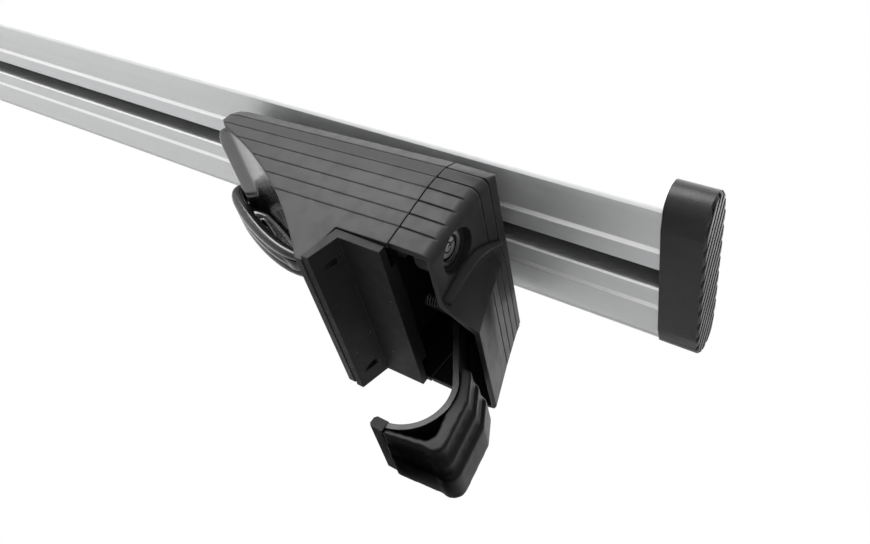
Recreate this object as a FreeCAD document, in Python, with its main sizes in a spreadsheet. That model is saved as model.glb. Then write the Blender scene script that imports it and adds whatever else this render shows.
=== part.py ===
import FreeCAD, Part
import math
import os
import Sketcher

# Roof rack crossbar: an extruded aluminium bar with two clamping feet and two end caps.
# Row frame in millimetres: X along the bar, Y across it, Z up, origin in the middle of the
# bar's underside. The feet hang below the bar, as the rack is used on a roof rail.
# A foot is drawn in its own frame: x runs outboard along the bar, z is the height below the
# bar's underside, and the left foot is the right one turned half a turn about Z.

os.makedirs("parts", exist_ok=True)
doc = FreeCAD.newDocument("RoofRackCrossbar")
sheet = doc.addObject("Spreadsheet::Sheet", "Sheet")
vector = FreeCAD.Vector

DRIVING_SIZES = {
    # bar extrusion
    "bar_length": 1190.0,
    "bar_width": 80.0,
    "bar_height": 16.4,
    "nose_inset": 6.6,
    "nose_rise": 1.2,
    "bar_flat": 54.0,
    "bar_wall": 2.0,
    "chamber_web": 2.0,
    "chamber_split": 25.0,
    "slot_mouth": 10.0,
    "slot_width": 20.0,
    "slot_height": 5.3,
    "slot_lip": 2.1,
    "slot_chamfer": 0.8,
    "vee_place": 15.5,
    "vee_width": 3.0,
    "vee_depth": 1.2,
    # infill strip in the top slot
    "strip_gap": 0.3,
    "strip_flange": 1.6,
    "strip_proud": 0.6,
    "strip_bevel": 1.0,
    # end caps
    "cap_skirt": 16.0,
    "cap_wall": 0.9,
    "cap_end": 4.0,
    "cap_gap": 0.1,
    "cap_chamfer": 0.9,
    "cap_groove_pitch": 8.0,
    "cap_groove_width": 1.7,
    "cap_groove_depth": 0.9,
    "cap_groove_turn": 28.0,
    "plug_length": 18.0,
    "plug_gap": 0.3,
    # foot shell
    "foot_inset": 137.0,
    "neck_height": 9.5,
    "shell_wall": 2.5,
    "seam_place": 50.0,
    "seam_gap": 0.5,
    "foot_end": 68.0,
    "foot_tip": 74.0,
    "tip_height": 4.0,
    "tip_inset": 6.0,
    "tip_round": 15.0,
    "half_width": 44.8,
    "top_inset": 2.9,
    "top_bevel": 2.2,
    "shoulder_inset": 0.6,
    "side_draft": 0.138,
    "groove_first": 16.2,
    "groove_pitch": 6.1,
    "groove_width": 0.9,
    "groove_depth": 0.6,
    "cover_depth": 54.0,
    "leg_depth": 71.0,
    "leg_thickness": 3.0,
    "slope_start_x": 60.0,
    "slope_start_z": 24.0,
    "slope_mid_x": 15.0,
    "slope_mid_z": 44.0,
    # seat for the roof rail
    "seat_gap": 0.4,
    "seat_corner": 26.8,
    "seat_rake": 3.8,
    "pad_thickness": 3.2,
    "pad_gap": 0.4,
    "pad_edge": 1.6,
    "pad_foot": 0.3,
    "pad_short": 1.2,
    "lane_place": 9.0,
    "lane_wide": 3.0,
    # inner cover
    "panel_thickness": 2.2,
    "panel_recess": 0.8,
    "panel_gap": 0.4,
    "lobe_place": 14.0,
    "lobe_wide": 6.0,
    # cast frame and fixings
    "frame_half": 28.0,
    "frame_front": 39.5,
    "frame_gap": 0.3,
    "frame_low": 7.0,
    "neck_half": 26.0,
    "neck_front": 38.0,
    "neck_back": 46.0,
    "neck_gap": 0.6,
    "saddle_pad": 2.0,
    "bar_gap": 0.2,
    "deck_thickness": 12.0,
    "seat_plate": 3.5,
    "plate_root": 8.0,
    "plate_short": 1.6,
    "nose_wall": 10.0,
    "window_long": 25.0,
    "window_rise": 3.0,
    "back_window": 43.0,
    "web_width": 20.0,
    "bolt_front": 17.0,
    "bolt_back": 30.0,
    "bolt_diameter": 8.0,
    "bolt_clearance": 0.4,
    "bolt_head_long": 14.0,
    "bolt_head_wide": 18.6,
    "bolt_head_tall": 4.2,
    "plate_width": 15.0,
    "washer_thickness": 1.6,
    "nut_width": 13.0,
    "nut_thickness": 6.5,
    "thread_engage": 2.0,
    # clamp screw and jaw
    "screw_y": 18.0,
    "screw_z": 31.0,
    "screw_length": 38.0,
    "screw_washer": 15.0,
    "screw_head": 13.0,
    "screw_head_tall": 6.0,
    "hex_key": 6.0,
    "key_depth": 3.6,
    "thread_gap": 0.05,
    "jaw_near": 4.0,
    "jaw_wide": 28.0,
    "strap_thickness": 2.2,
    "strap_x": 58.4,
    "strap_top": 21.5,
    "strap_knee": 39.0,
    "hook_x": 63.4,
    "hook_z": 77.6,
    "hook_radius": 16.5,
    "hook_lean": 28.0,
    "hook_sweep": 80.0,
    "heel_x": 26.0,
    "heel_z": 18.0,
    "heel_tall": 4.0,
    "brow_x": 5.5,
    "brow_z": 1.5,
    "sole": 2.4,
    "tip_long": 5.8,
    "tip_tall": 4.4,
    "tip_lift": 0.4,
    "tip_bevel": 1.0,
    "ridge_step": 2.0,
    "ridge_run": 7.0,
    "jaw_cover_top": 62.0,
    "jaw_cover_gap": 0.2,
    # end cover and lock
    "cover_wall": 2.4,
    "cover_corner": 4.0,
    "cover_brow": 3.2,
    "bulge_reach": 13.5,
    "bulge_start": 12.6,
    "bulge_far": 1.8,
    "bulge_corner": 4.0,
    "tongue_length": 9.0,
    "tongue_thickness": 2.0,
    "tongue_half": 18.0,
    "tongue_root": 3.0,
    "boss_long": 8.0,
    "boss_wall": 1.3,
    "lock_y": 31.0,
    "lock_rise": 14.0,
    "lock_recess": 8.9,
    "lock_recess_depth": 3.7,
    "lock_radius": 6.7,
    "lock_length": 20.0,
    "lock_gap": 0.05,
    "barrel_radius": 4.6,
    "barrel_set": 0.5,
    "keyway": 1.0,
    "cam_thickness": 2.4,
    "cam_reach": 11.0,
    "cam_half": 3.0,
    "cam_stub": 2.5,
    "catch_gap": 0.6,
    "catch_thickness": 2.0,
    "catch_root": 4.0,
    "catch_wide": 5.0,
    "catch_tall": 6.0,
}

# The outboard bulge from its top down: share of its height, share of its reach, then where
# its scoop starts and where its crest is, as shares of the foot's half width.
BULGE_STATIONS = (
    (0.0, 0.01, 0.245, 0.067),
    (0.054, 0.065, 0.281, 0.089),
    (0.355, 0.363, 0.462, 0.156),
    (0.685, 0.688, 0.475, 0.2),
    (1.0, 1.0, 0.384, 0.19),
)
# Share of the way from the scoop's start to its crest, and share of the reach there.
SCOOP_CURVE = ((0.0, 0.0), (0.45, 0.25), (0.8, 0.7), (1.0, 1.0))
# Share of the far corner's size, and share of the reach there.
BULGE_CORNER = ((1.0, 1.0), (0.4, 0.9), (0.09, 0.62), (0.0, 0.3))
# The grip on the inner cover: distance behind the foot's tip, and depth.
LOBE_OUTLINE = (
    (4.0, 13.5), (3.7, 16.8), (-6.0, 14.2), (-9.6, 15.2), (-11.0, 18.2), (-9.8, 22.4),
    (8.0, 32.0), (29.0, 40.0), (47.0, 43.4), (56.0, 40.0), (34.0, 29.5), (14.0, 21.0),
)
LOBE_HOLE = ((14.0, 27.0), (14.0, 31.0), (24.0, 36.0), (30.0, 35.0), (22.0, 31.0))
# How many grooves run along the sides, stay at full width, run round the end and on the bulge.
SIDE_GROOVES = 6
STRAIGHT_GROOVES = 3
END_GROOVES = 2
BULGE_GROOVES = 4
# How many steps the jaw cover's face has across its width.
JAW_RIDGES = 3
# Angles below the horizontal where the jaw cover's hollow starts, turns and ends.
HOLLOW_ANGLES = (10.0, 42.0, 76.0)
# Angles at which the cover's corners are drawn, from its end face to its side.
CORNER_ANGLES = (0.0, 22.5, 45.0, 67.5, 90.0)
# Angles at which the foot's tip is sectioned around its rounded corners.
TIP_ANGLES = (0.0, 22.5, 45.0, 67.5, 85.0)


class Size:
    """A length with its number and the expression that ties it to the sheet."""

    def __init__(self, value, text):
        self.value = value
        self.text = text

    def join(self, sign, other, value):
        return Size(value, "(%s %s %s)" % (self.text, sign, other.text))

    def __add__(self, other):
        other = size(other)
        return self.join("+", other, self.value + other.value)

    def __sub__(self, other):
        other = size(other)
        return self.join("-", other, self.value - other.value)

    def __mul__(self, other):
        other = size(other)
        return self.join("*", other, self.value * other.value)

    def __truediv__(self, other):
        other = size(other)
        return self.join("/", other, self.value / other.value)

    def __neg__(self):
        return Size(-self.value, "(0 - %s)" % self.text)

    def __radd__(self, other):
        return size(other) + self

    def __rmul__(self, other):
        return size(other) * self

    def __rsub__(self, other):
        return size(other) - self


def size(number):
    if isinstance(number, Size):
        return number
    return Size(float(number), "%.6f" % number)


def cosine(degrees):
    return Size(math.cos(math.radians(degrees.value)), "cos(%s * 1 deg)" % degrees.text)


def sine(degrees):
    return Size(math.sin(math.radians(degrees.value)), "sin(%s * 1 deg)" % degrees.text)


class Sizes:
    """The driving sizes by name, each bound to its cell."""


S = Sizes()
for row, (alias, number) in enumerate(DRIVING_SIZES.items(), start=1):
    sheet.set("A%d" % row, str(number))
    sheet.setAlias("A%d" % row, alias)
    setattr(S, alias, Size(number, "Sheet." + alias))
doc.recompute()

S.foot_spacing = S.bar_length - S.foot_inset * 2
S.lock_z = S.cover_depth - S.lock_rise
S.seat_ceiling = S.cover_depth + S.seat_gap

ORIGIN = size(0)
OVERRUN = size(20)
parts = []


# Drawing helpers

def new_body(label, side=None):
    """A body in the row frame, or in the frame of the right (+1) or left (-1) foot."""
    body = doc.addObject("PartDesign::Body", "Body_" + label)
    body.Label = label
    if side is not None:
        turn = 0 if side > 0 else 180
        body.Placement = FreeCAD.Placement(vector(), FreeCAD.Rotation(vector(0, 0, 1), turn))
        body.setExpression("Placement.Base.x", (S.foot_spacing / 2 * side).text)
    parts.append(body)
    return body


def new_sketch(body, role, offset=None):
    """A sketch on one of the body's own planes, moved along that plane's normal."""
    sketch = body.newObject("Sketcher::SketchObject", "Sketch")
    plane = [item for item in body.Origin.OriginFeatures if item.Role == role][0]
    sketch.AttachmentSupport = [(plane, "")]
    sketch.MapMode = "FlatFace"
    if offset is not None:
        sketch.setExpression("AttachmentOffset.Base.z", offset.text)
    return sketch


def pin(sketch, geometry, position, point):
    """Ties a vertex of the sketch to two sizes measured from the sketch's origin."""
    for kind, length in (("DistanceX", point[0]), ("DistanceY", point[1])):
        rule = Sketcher.Constraint(kind, -1, 1, geometry, position, length.value)
        number = sketch.addConstraint(rule)
        sketch.setExpression("Constraints[%d]" % number, length.text)


def flat(point):
    return vector(point[0].value, point[1].value, 0)


def outline(sketch, points):
    """A closed outline of lines, with an arc through each point marked 'arc'."""
    points = [(size(point[0]), size(point[1])) + tuple(point[2:]) for point in points]
    edges = []
    for place, point in enumerate(points):
        if len(point) == 3:
            continue
        after = points[(place + 1) % len(points)]
        if len(after) == 3:
            end = points[(place + 2) % len(points)]
            turn = (flat(after) - flat(point)).cross(flat(end) - flat(after)).z
            first, last = (point, end) if turn > 0 else (end, point)
            curve = Part.Arc(flat(first), flat(after), flat(last))
            number = sketch.addGeometry(curve, False)
            near, far = (1, 2) if turn > 0 else (2, 1)
            edges.append((number, near, far, point, after))
        else:
            number = sketch.addGeometry(Part.LineSegment(flat(point), flat(after)), False)
            edges.append((number, 1, 2, point, None))
    for place, edge in enumerate(edges):
        following = edges[(place + 1) % len(edges)]
        rule = Sketcher.Constraint("Coincident", edge[0], edge[2], following[0], following[1])
        sketch.addConstraint(rule)
    for number, start, finish, point, middle in edges:
        pin(sketch, number, start, point)
        if middle is not None:
            helper = sketch.addGeometry(Part.Point(flat(middle)), True)
            sketch.addConstraint(Sketcher.Constraint("PointOnObject", helper, 1, number))
            pin(sketch, helper, 1, middle)


def circle(sketch, across, up, radius):
    radius = size(radius)
    centre = (size(across), size(up))
    number = sketch.addGeometry(Part.Circle(flat(centre), vector(0, 0, 1), radius.value), False)
    pin(sketch, number, 3, centre)
    rule = sketch.addConstraint(Sketcher.Constraint("Radius", number, radius.value))
    sketch.setExpression("Constraints[%d]" % rule, radius.text)


def box_outline(sketch, left, right, low, high):
    outline(sketch, [(left, low), (right, low), (right, high), (left, high)])


def pad(body, sketch, length, centred=False, backwards=False):
    feature = body.newObject("PartDesign::Pad", "Pad")
    feature.Profile = sketch
    feature.setExpression("Length", size(length).text)
    feature.Midplane = centred
    feature.Reversed = backwards
    return feature


def pocket(body, sketch, length, centred=False, backwards=False):
    feature = body.newObject("PartDesign::Pocket", "Pocket")
    feature.Profile = sketch
    feature.setExpression("Length", size(length).text)
    feature.Midplane = centred
    feature.Reversed = backwards
    return feature


def loft(body, kind, sketches):
    feature = body.newObject("PartDesign::" + kind, "Loft")
    feature.Profile = sketches[0]
    feature.Sections = sketches[1:]
    feature.Ruled = True
    return feature


def slab(body, y_low, y_high, points):
    """Pads a side-view outline (x, z) between two distances across the bar."""
    sketch = new_sketch(body, "XZ_Plane", -size(y_low))
    outline(sketch, points)
    return pad(body, sketch, size(y_high) - size(y_low), backwards=True)


def slot(body, y_low, y_high, points):
    """Cuts a side-view outline (x, z) between two distances across the bar."""
    sketch = new_sketch(body, "XZ_Plane", -size(y_low))
    outline(sketch, points)
    return pocket(body, sketch, size(y_high) - size(y_low))


def rod(body, x_low, x_high, across, up, radius):
    """Pads a round bar along x."""
    sketch = new_sketch(body, "YZ_Plane", size(x_low))
    circle(sketch, across, up, radius)
    return pad(body, sketch, size(x_high) - size(x_low))


def bore(body, x_low, x_high, across, up, radius):
    """Cuts a round hole along x."""
    sketch = new_sketch(body, "YZ_Plane", size(x_high))
    circle(sketch, across, up, radius)
    return pocket(body, sketch, size(x_high) - size(x_low))


def post(body, z_low, z_high, places, radius):
    """Pads upright round bars at (x, y) places."""
    sketch = new_sketch(body, "XY_Plane", size(z_low))
    for across, along in places:
        circle(sketch, across, along, radius)
    return pad(body, sketch, size(z_high) - size(z_low))


def drill(body, z_low, z_high, places, radius):
    """Cuts upright round holes at (x, y) places."""
    sketch = new_sketch(body, "XY_Plane", size(z_high))
    for across, along in places:
        circle(sketch, across, along, radius)
    return pocket(body, sketch, size(z_high) - size(z_low))


# Bar, strip and caps

def bar_envelope(inset):
    """The bar's outer section (y, z) without its slots, moved inwards by inset."""
    half = S.bar_width / 2
    crown = S.bar_flat / 2
    edge = half - S.nose_inset
    low = size(inset)
    high = S.bar_height - inset
    middle = S.bar_height / 2
    return [(-crown, low), (crown, low), (edge, low + S.nose_rise),
            (half - inset, middle, "arc"), (edge, high - S.nose_rise), (crown, high),
            (-crown, high), (-edge, high - S.nose_rise),
            (-(half - inset), middle, "arc"), (-edge, low + S.nose_rise)]


def slot_corners(mirror, up, base):
    """One side of a T-slot from its mouth inwards; mirror is the side, up the depth's sign."""
    mouth = S.slot_mouth / 2
    reach = S.slot_width / 2
    deep = S.slot_lip + S.slot_height
    corners = [(mouth + S.slot_chamfer, ORIGIN), (mouth, S.slot_chamfer),
               (mouth, S.slot_lip), (reach, S.slot_lip), (reach, deep)]
    return [(mirror * across, base + up * depth) for across, depth in corners]


def vee_corners(mirror):
    """One shallow V groove in the underside, from the inner lip to the outer one."""
    half = S.vee_width / 2
    return [(mirror * (S.vee_place - half), ORIGIN), (mirror * S.vee_place, S.vee_depth),
            (mirror * (S.vee_place + half), ORIGIN)]


def half_nose(mirror):
    crown = S.bar_flat / 2
    edge = S.bar_width / 2 - S.nose_inset
    return [(mirror * crown, ORIGIN), (mirror * edge, S.nose_rise),
            (mirror * S.bar_width / 2, S.bar_height / 2, "arc"),
            (mirror * edge, S.bar_height - S.nose_rise), (mirror * crown, S.bar_height)]


def bar_profile():
    body = new_body("bar_profile")
    start = -(S.bar_length / 2)
    sketch = new_sketch(body, "YZ_Plane", start)
    top = S.bar_height
    right = vee_corners(1) + half_nose(1)
    left = vee_corners(-1) + half_nose(-1)
    section = list(reversed(slot_corners(1, 1, ORIGIN))) + right
    section = section + slot_corners(1, -1, top)
    section = section + list(reversed(slot_corners(-1, -1, top)))
    section = section + list(reversed(left)) + slot_corners(-1, 1, ORIGIN)
    outline(sketch, section)
    wall = S.bar_wall
    edge = S.bar_width / 2 - S.nose_inset
    inner = S.slot_width / 2 + S.chamber_web
    floor = S.vee_depth + wall
    ceiling = S.bar_height - wall
    for side in (1, -1):
        outline(sketch, [(side * inner, floor), (side * (S.chamber_split - wall / 2), floor),
                         (side * (S.chamber_split - wall / 2), ceiling), (side * inner, ceiling)])
        outline(sketch, [(side * (S.chamber_split + wall / 2), wall), (side * edge, wall + S.nose_rise),
                         (side * (S.bar_width / 2 - wall), S.bar_height / 2, "arc"),
                         (side * edge, ceiling - S.nose_rise),
                         (side * (S.chamber_split + wall / 2), ceiling)])
    pad(body, sketch, S.bar_length)


def top_strip():
    body = new_body("top_strip")
    half = S.bar_length / 2 + S.cap_end - S.cap_skirt - S.strip_gap
    sketch = new_sketch(body, "YZ_Plane", -half)
    neck = S.slot_mouth / 2 - S.strip_gap
    wing = S.slot_width / 2 - S.strip_gap
    under = S.bar_height - S.slot_lip - S.strip_gap
    low = under - S.strip_flange
    proud = S.bar_height + S.strip_proud
    outline(sketch, [(-wing, low), (wing, low), (wing, under), (neck, under),
                     (neck, S.bar_height), (neck - S.strip_bevel, proud), (S.strip_bevel - neck, proud),
                     (-neck, S.bar_height), (-neck, under), (-wing, under)])
    pad(body, sketch, half * 2)


def end_cap(label, side):
    body = new_body(label)
    if side < 0:
        body.Placement = FreeCAD.Placement(vector(), FreeCAD.Rotation(vector(0, 0, 1), 180))
    outer = S.bar_length / 2 + S.cap_end
    sketch = new_sketch(body, "YZ_Plane", outer - S.cap_skirt)
    outline(sketch, bar_envelope(-S.cap_wall))
    block = pad(body, sketch, S.cap_skirt)
    doc.recompute()
    rim = ["Edge%d" % number for number, edge in enumerate(block.Shape.Edges, start=1)
           if abs(edge.CenterOfMass.x - outer.value) < 0.01]
    bevel = body.newObject("PartDesign::Chamfer", "Bevel")
    bevel.Base = (block, rim)
    bevel.setExpression("Size", S.cap_chamfer.text)
    body.Tip = bevel
    sketch = new_sketch(body, "YZ_Plane", S.bar_length / 2)
    outline(sketch, bar_envelope(-S.cap_gap))
    pocket(body, sketch, S.cap_skirt)
    wall = S.bar_wall + S.plug_gap
    edge = S.bar_width / 2 - S.nose_inset
    inner = S.chamber_split + S.bar_wall / 2 + S.plug_gap
    for mirror in (1, -1):
        sketch = new_sketch(body, "YZ_Plane", S.bar_length / 2 - S.plug_length)
        low = wall + S.nose_rise
        outline(sketch, [(mirror * inner, low), (mirror * edge, low),
                         (mirror * edge, S.bar_height - low), (mirror * inner, S.bar_height - low)])
        pad(body, sketch, S.plug_length)
    cut_cap_grooves(body, outer)


def cut_cap_grooves(body, outer):
    """Slanting grooves across the cap's end face, repeated along its width."""
    sketch = new_sketch(body, "YZ_Plane", outer)
    rise = S.bar_height + 2 * S.cap_wall + 2
    run = rise * cosine(S.cap_groove_turn) / sine(S.cap_groove_turn)
    start = -(S.bar_width / 2) - S.cap_wall - run + S.cap_groove_pitch / 2
    low = -S.cap_wall - 1
    wide = S.cap_groove_width / sine(S.cap_groove_turn)
    high = low + rise
    outline(sketch, [(start, high), (start + wide, high), (start + wide + run, low),
                     (start + run, low)])
    groove = pocket(body, sketch, S.cap_groove_depth)
    doc.recompute()
    pattern = body.newObject("PartDesign::LinearPattern", "Grooves")
    pattern.Originals = [groove]
    pattern.Direction = (sketch, ["H_Axis"])
    span = S.bar_width + run
    pattern.setExpression("Occurrences", "floor(%s / %s)" % (span.text, S.cap_groove_pitch.text))
    copies = int(span.value // S.cap_groove_pitch.value)
    pattern.Occurrences = copies
    pattern.setExpression(
        "Length", "(floor(%s / %s) - 1) * %s" % (span.text, S.cap_groove_pitch.text,
                                                 S.cap_groove_pitch.text))
    body.Tip = pattern


# Foot shell and its inner cover

def side_widths(inset, grooves):
    """Half the foot's section at the seam as (y, z) corners from the top down."""
    top = -S.neck_height - inset
    shoulder = S.half_width - S.shoulder_inset - inset
    widest = S.half_width - inset
    pitch = S.groove_pitch
    places = [(shoulder, -S.groove_first)]
    for step in range(1, SIDE_GROOVES):
        height = -S.groove_first - pitch * step
        narrow = widest if step < STRAIGHT_GROOVES else widest - S.side_draft * pitch * (step - 2)
        places.append((narrow, height))
    low = S.leg_depth + OVERRUN / 5
    foot = widest - S.side_draft * (low - S.groove_first - pitch * 2)
    brow = S.half_width - S.top_inset - inset
    corners = [(brow - S.top_bevel, top), (brow, top - S.top_bevel / 2)]
    half = S.groove_width / 2
    for wide, height in places:
        if grooves:
            corners = corners + [(wide, height + half), (wide - S.groove_depth, height),
                                 (wide, height - half)]
        else:
            corners.append((wide, height))
    corners.append((foot, -low))
    return corners


def foot_section(inset, narrowing, grooves, floor=None):
    """The foot's closed section, narrowed by a distance on each side."""
    half = [(wide - narrowing, height) for wide, height in side_widths(inset, grooves)]
    if floor is not None:
        half = half[:-1]
        last = S.half_width - inset - S.side_draft * (floor - S.groove_first - S.groove_pitch * 2)
        half.append((last - narrowing, -floor))
    return half + [(-wide, height) for wide, height in reversed(half)]


def side_narrowing(x):
    """How much narrower the foot's half width is at x than at the seam."""
    return S.tip_inset * (S.seam_place - x) / (S.seam_place + S.foot_tip)


def foot_loft(body, kind, x_front, inset, grooves):
    """The foot's hull from a front station to its rounded tip."""
    bend = S.tip_round - inset
    centre = S.tip_round - S.foot_tip
    stations = [(size(x_front), side_narrowing(size(x_front)))]
    for degrees in TIP_ANGLES:
        angle = size(degrees)
        narrowing = side_narrowing(centre) + bend - bend * cosine(angle)
        stations.append((centre - bend * sine(angle), narrowing))
    stations.append((inset - S.foot_tip, stations[-1][1] + bend * 0.1))
    sketches = []
    for station, narrowing in stations:
        sketch = new_sketch(body, "YZ_Plane", station)
        outline(sketch, foot_section(size(inset), narrowing, grooves))
        sketches.append(sketch)
    return loft(body, kind, sketches)


def leg_foot_x():
    return S.seat_corner - S.seat_rake - S.leg_thickness


def slope_line(shift):
    """The foot's underside from its tip to its leg, moved inwards by shift (x, z)."""
    return [(-S.slope_start_x + shift, -S.slope_start_z + shift),
            (-S.slope_mid_x + shift, -S.slope_mid_z + shift, "arc"),
            (leg_foot_x() + shift, -S.leg_depth + shift)]


def foot_half_width(depth, x):
    """Half the foot's outer width below its widest rib, at a depth and a place along it."""
    taper = S.side_draft * (size(depth) - S.groove_first - S.groove_pitch * 2)
    return S.half_width - taper - side_narrowing(x)


def leg_face(depth):
    """How far outboard the leg's seat side is at a depth."""
    share = (S.leg_depth - size(depth)) / (S.leg_depth - S.seat_ceiling)
    return S.seat_corner - S.seat_rake + S.seat_rake * share


def leg_head():
    return S.seat_ceiling + S.pad_gap + S.frame_gap


def foot_shell(label, side):
    body = new_body(label, side)
    reach = (S.half_width + OVERRUN) * 2
    foot_loft(body, "AdditiveLoft", S.seam_place, ORIGIN, True)
    below = -S.leg_depth - OVERRUN
    sketch = new_sketch(body, "XZ_Plane")
    tip_low = -S.neck_height - S.tip_height
    outline(sketch, [(-S.foot_tip - OVERRUN, below), (-S.foot_tip - OVERRUN, tip_low),
                     (-S.foot_tip, tip_low)]
            + slope_line(ORIGIN)
            + [(leg_face(S.leg_depth), -S.leg_depth), (S.seat_corner, -S.seat_ceiling),
               (S.seam_place + OVERRUN, -S.seat_ceiling), (S.seam_place + OVERRUN, below)])
    pocket(body, sketch, reach, centred=True)
    foot_loft(body, "SubtractiveLoft", S.seam_place + 1, S.shell_wall, False)
    sketches = []
    for depth in (S.leg_depth, leg_head()):
        face = leg_face(depth)
        half = foot_half_width(depth, face) - S.shell_wall / 2
        sketch = new_sketch(body, "XY_Plane", -depth)
        box_outline(sketch, face - S.leg_thickness, face, -half, half)
        sketches.append(sketch)
    loft(body, "AdditiveLoft", sketches)
    sketch = new_sketch(body, "XY_Plane", ORIGIN)
    gap = S.neck_gap
    box_outline(sketch, -S.neck_back - gap, S.neck_front + gap, -S.neck_half - gap,
                S.neck_half + gap)
    pocket(body, sketch, S.neck_height + S.shell_wall + 1)


def lobe_points(table):
    return [(behind - S.foot_tip, -size(depth)) for behind, depth in table]


def inner_cover(label, side):
    body = new_body(label, side)
    reach = (S.half_width + OVERRUN) * 2
    inset = S.shell_wall + S.panel_gap
    foot_loft(body, "AdditiveLoft", leg_foot_x(), inset, False)
    outer = S.panel_recess
    inner = S.panel_recess + S.panel_thickness
    end = leg_foot_x() - S.panel_gap
    below = -S.leg_depth - OVERRUN
    before = -S.foot_tip - OVERRUN
    beyond = end + OVERRUN
    sketch = new_sketch(body, "XZ_Plane")
    start = slope_line(outer)
    outline(sketch, [(before, below), (before, start[0][1])] + start
            + [(beyond, -S.leg_depth + outer), (beyond, below)])
    pocket(body, sketch, reach, centred=True)
    sketch = new_sketch(body, "XZ_Plane")
    inside = slope_line(inner)
    outline(sketch, [(before, ORIGIN), (before, inside[0][1])] + inside
            + [(beyond, -S.leg_depth + inner), (beyond, ORIGIN)])
    pocket(body, sketch, reach, centred=True)
    sketch = new_sketch(body, "XZ_Plane")
    box_outline(sketch, end, beyond, below, ORIGIN)
    pocket(body, sketch, reach, centred=True)
    slab(body, S.lobe_place, S.lobe_place + S.lobe_wide, lobe_points(LOBE_OUTLINE))
    slot(body, S.lobe_place - 1, S.lobe_place + S.lobe_wide + 1, lobe_points(LOBE_HOLE))


# Cast frame, pads and fixings

def pad_outline(shift):
    """The rubber pad's back: down the seat's wall and along its ceiling."""
    gap = S.pad_gap + shift
    low = S.pad_foot - S.leg_depth
    return [(leg_face(S.leg_depth) + gap, low), (S.seat_corner + gap, -S.seat_ceiling - gap),
            (S.seam_place - S.pad_short, -S.seat_ceiling - gap)]


def rail_pad(label, side):
    body = new_body(label, side)
    half = foot_half_width(S.cover_depth, S.seam_place) - S.pad_edge
    back = pad_outline(ORIGIN)
    front = pad_outline(S.pad_thickness)
    slab(body, -half, half, back + list(reversed(front)))
    low, high = front[0], front[1]
    for mirror in (1, -1):
        near = mirror * (half - S.lane_place)
        reach = S.lane_wide / 2
        sketch = new_sketch(body, "YZ_Plane", high[0] + 1)
        box_outline(sketch, near - reach, near + reach, low[1] + S.lane_wide,
                    high[1] - S.lane_wide)
        pocket(body, sketch, high[0] - low[0] + 2 - S.seat_rake / 2)


def foot_frame(label, side):
    body = new_body(label, side)
    top = -S.saddle_pad - S.bar_gap
    under = -S.neck_height - S.shell_wall - S.frame_gap
    plate = -S.seat_ceiling - S.pad_gap
    deck = top - S.deck_thickness
    inner = S.panel_recess + S.panel_thickness + S.frame_gap
    rise = slope_line(inner)
    low = S.frame_low - S.leg_depth
    wall_top = leg_face(leg_head()) - S.leg_thickness - S.frame_gap
    wall_low = leg_face(-low) - S.leg_thickness - S.frame_gap
    slab(body, -S.frame_half, S.frame_half,
         [(-S.neck_back, top), (S.neck_front, top), (S.neck_front, under),
          (S.frame_front, under), (S.frame_front, plate + S.plate_root),
          (S.seam_place - S.plate_short, plate + S.seat_plate), (S.seam_place - S.plate_short, plate),
          (wall_top, plate), (wall_low, low),
          (rise[0][0], low), (rise[0][0], under), (-S.neck_back, under)])
    below = -S.leg_depth - OVERRUN
    before = -S.foot_tip - OVERRUN
    sketch = new_sketch(body, "XZ_Plane")
    outline(sketch, [(before, below), (before, rise[0][1])] + rise
            + [(rise[-1][0], below)])
    pocket(body, sketch, S.frame_half * 3, centred=True)
    sketch = new_sketch(body, "XY_Plane", top)
    outer = S.half_width
    for mirror in (1, -1):
        box_outline(sketch, -S.foot_tip, S.foot_end, mirror * S.neck_half, mirror * outer)
    pocket(body, sketch, top - under)
    window_front = S.frame_front - S.nose_wall
    window_back = window_front - S.window_long
    floor = plate + S.seat_plate + S.window_rise
    slot(body, -S.half_width, S.half_width,
         [(window_back, deck), (window_front, deck), (window_front, floor),
          (window_back, floor + S.window_rise)])
    back_front = window_back - S.web_width
    slot(body, -S.half_width, S.half_width,
         [(-S.back_window, deck), (back_front, deck), (back_front, S.nose_wall - S.slope_mid_z),
          (S.frame_low - S.back_window, -S.slope_start_z - 2),
          (-S.back_window, S.window_rise - S.slope_start_z)])
    places = [(S.bolt_front, ORIGIN), (-S.bolt_back, ORIGIN)]
    drill(body, deck - 1, top + 1, places, S.bolt_diameter / 2 + S.bolt_clearance)
    bore(body, window_front - 1, S.frame_front + 1, S.screw_y, -S.screw_z,
         S.bolt_diameter / 2 + S.bolt_clearance)
    half = S.nut_width / 2 + S.thread_gap * 2
    sketch = new_sketch(body, "YZ_Plane", window_front)
    box_outline(sketch, S.screw_y - half, S.screw_y + half, -S.screw_z - half, half - S.screw_z)
    pocket(body, sketch, S.nut_thickness, backwards=True)
    catch = S.foot_end - S.lock_recess_depth - S.lock_length + S.catch_gap
    front = catch + S.catch_thickness
    back = window_front - S.catch_root
    root = -S.neck_height - S.shell_wall - S.catch_thickness
    low = S.cam_reach - S.lock_z - S.catch_thickness
    slab(body, -(S.lock_y + S.catch_wide), -(S.frame_half - S.catch_thickness),
         [(back, root), (front, root), (front, low), (catch, low),
          (catch, root - S.catch_tall), (back, root - S.catch_tall)])


def saddle_pad(label, side):
    body = new_body(label, side)
    sketch = new_sketch(body, "XY_Plane", -S.saddle_pad - S.bar_gap)
    box_outline(sketch, -S.neck_back, S.neck_front, -S.neck_half, S.neck_half)
    pad(body, sketch, S.saddle_pad)
    drill(body, -S.saddle_pad - S.bar_gap - 1, ORIGIN,
          [(S.bolt_front, ORIGIN), (-S.bolt_back, ORIGIN)],
          S.bolt_diameter / 2 + S.bolt_clearance)


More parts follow.
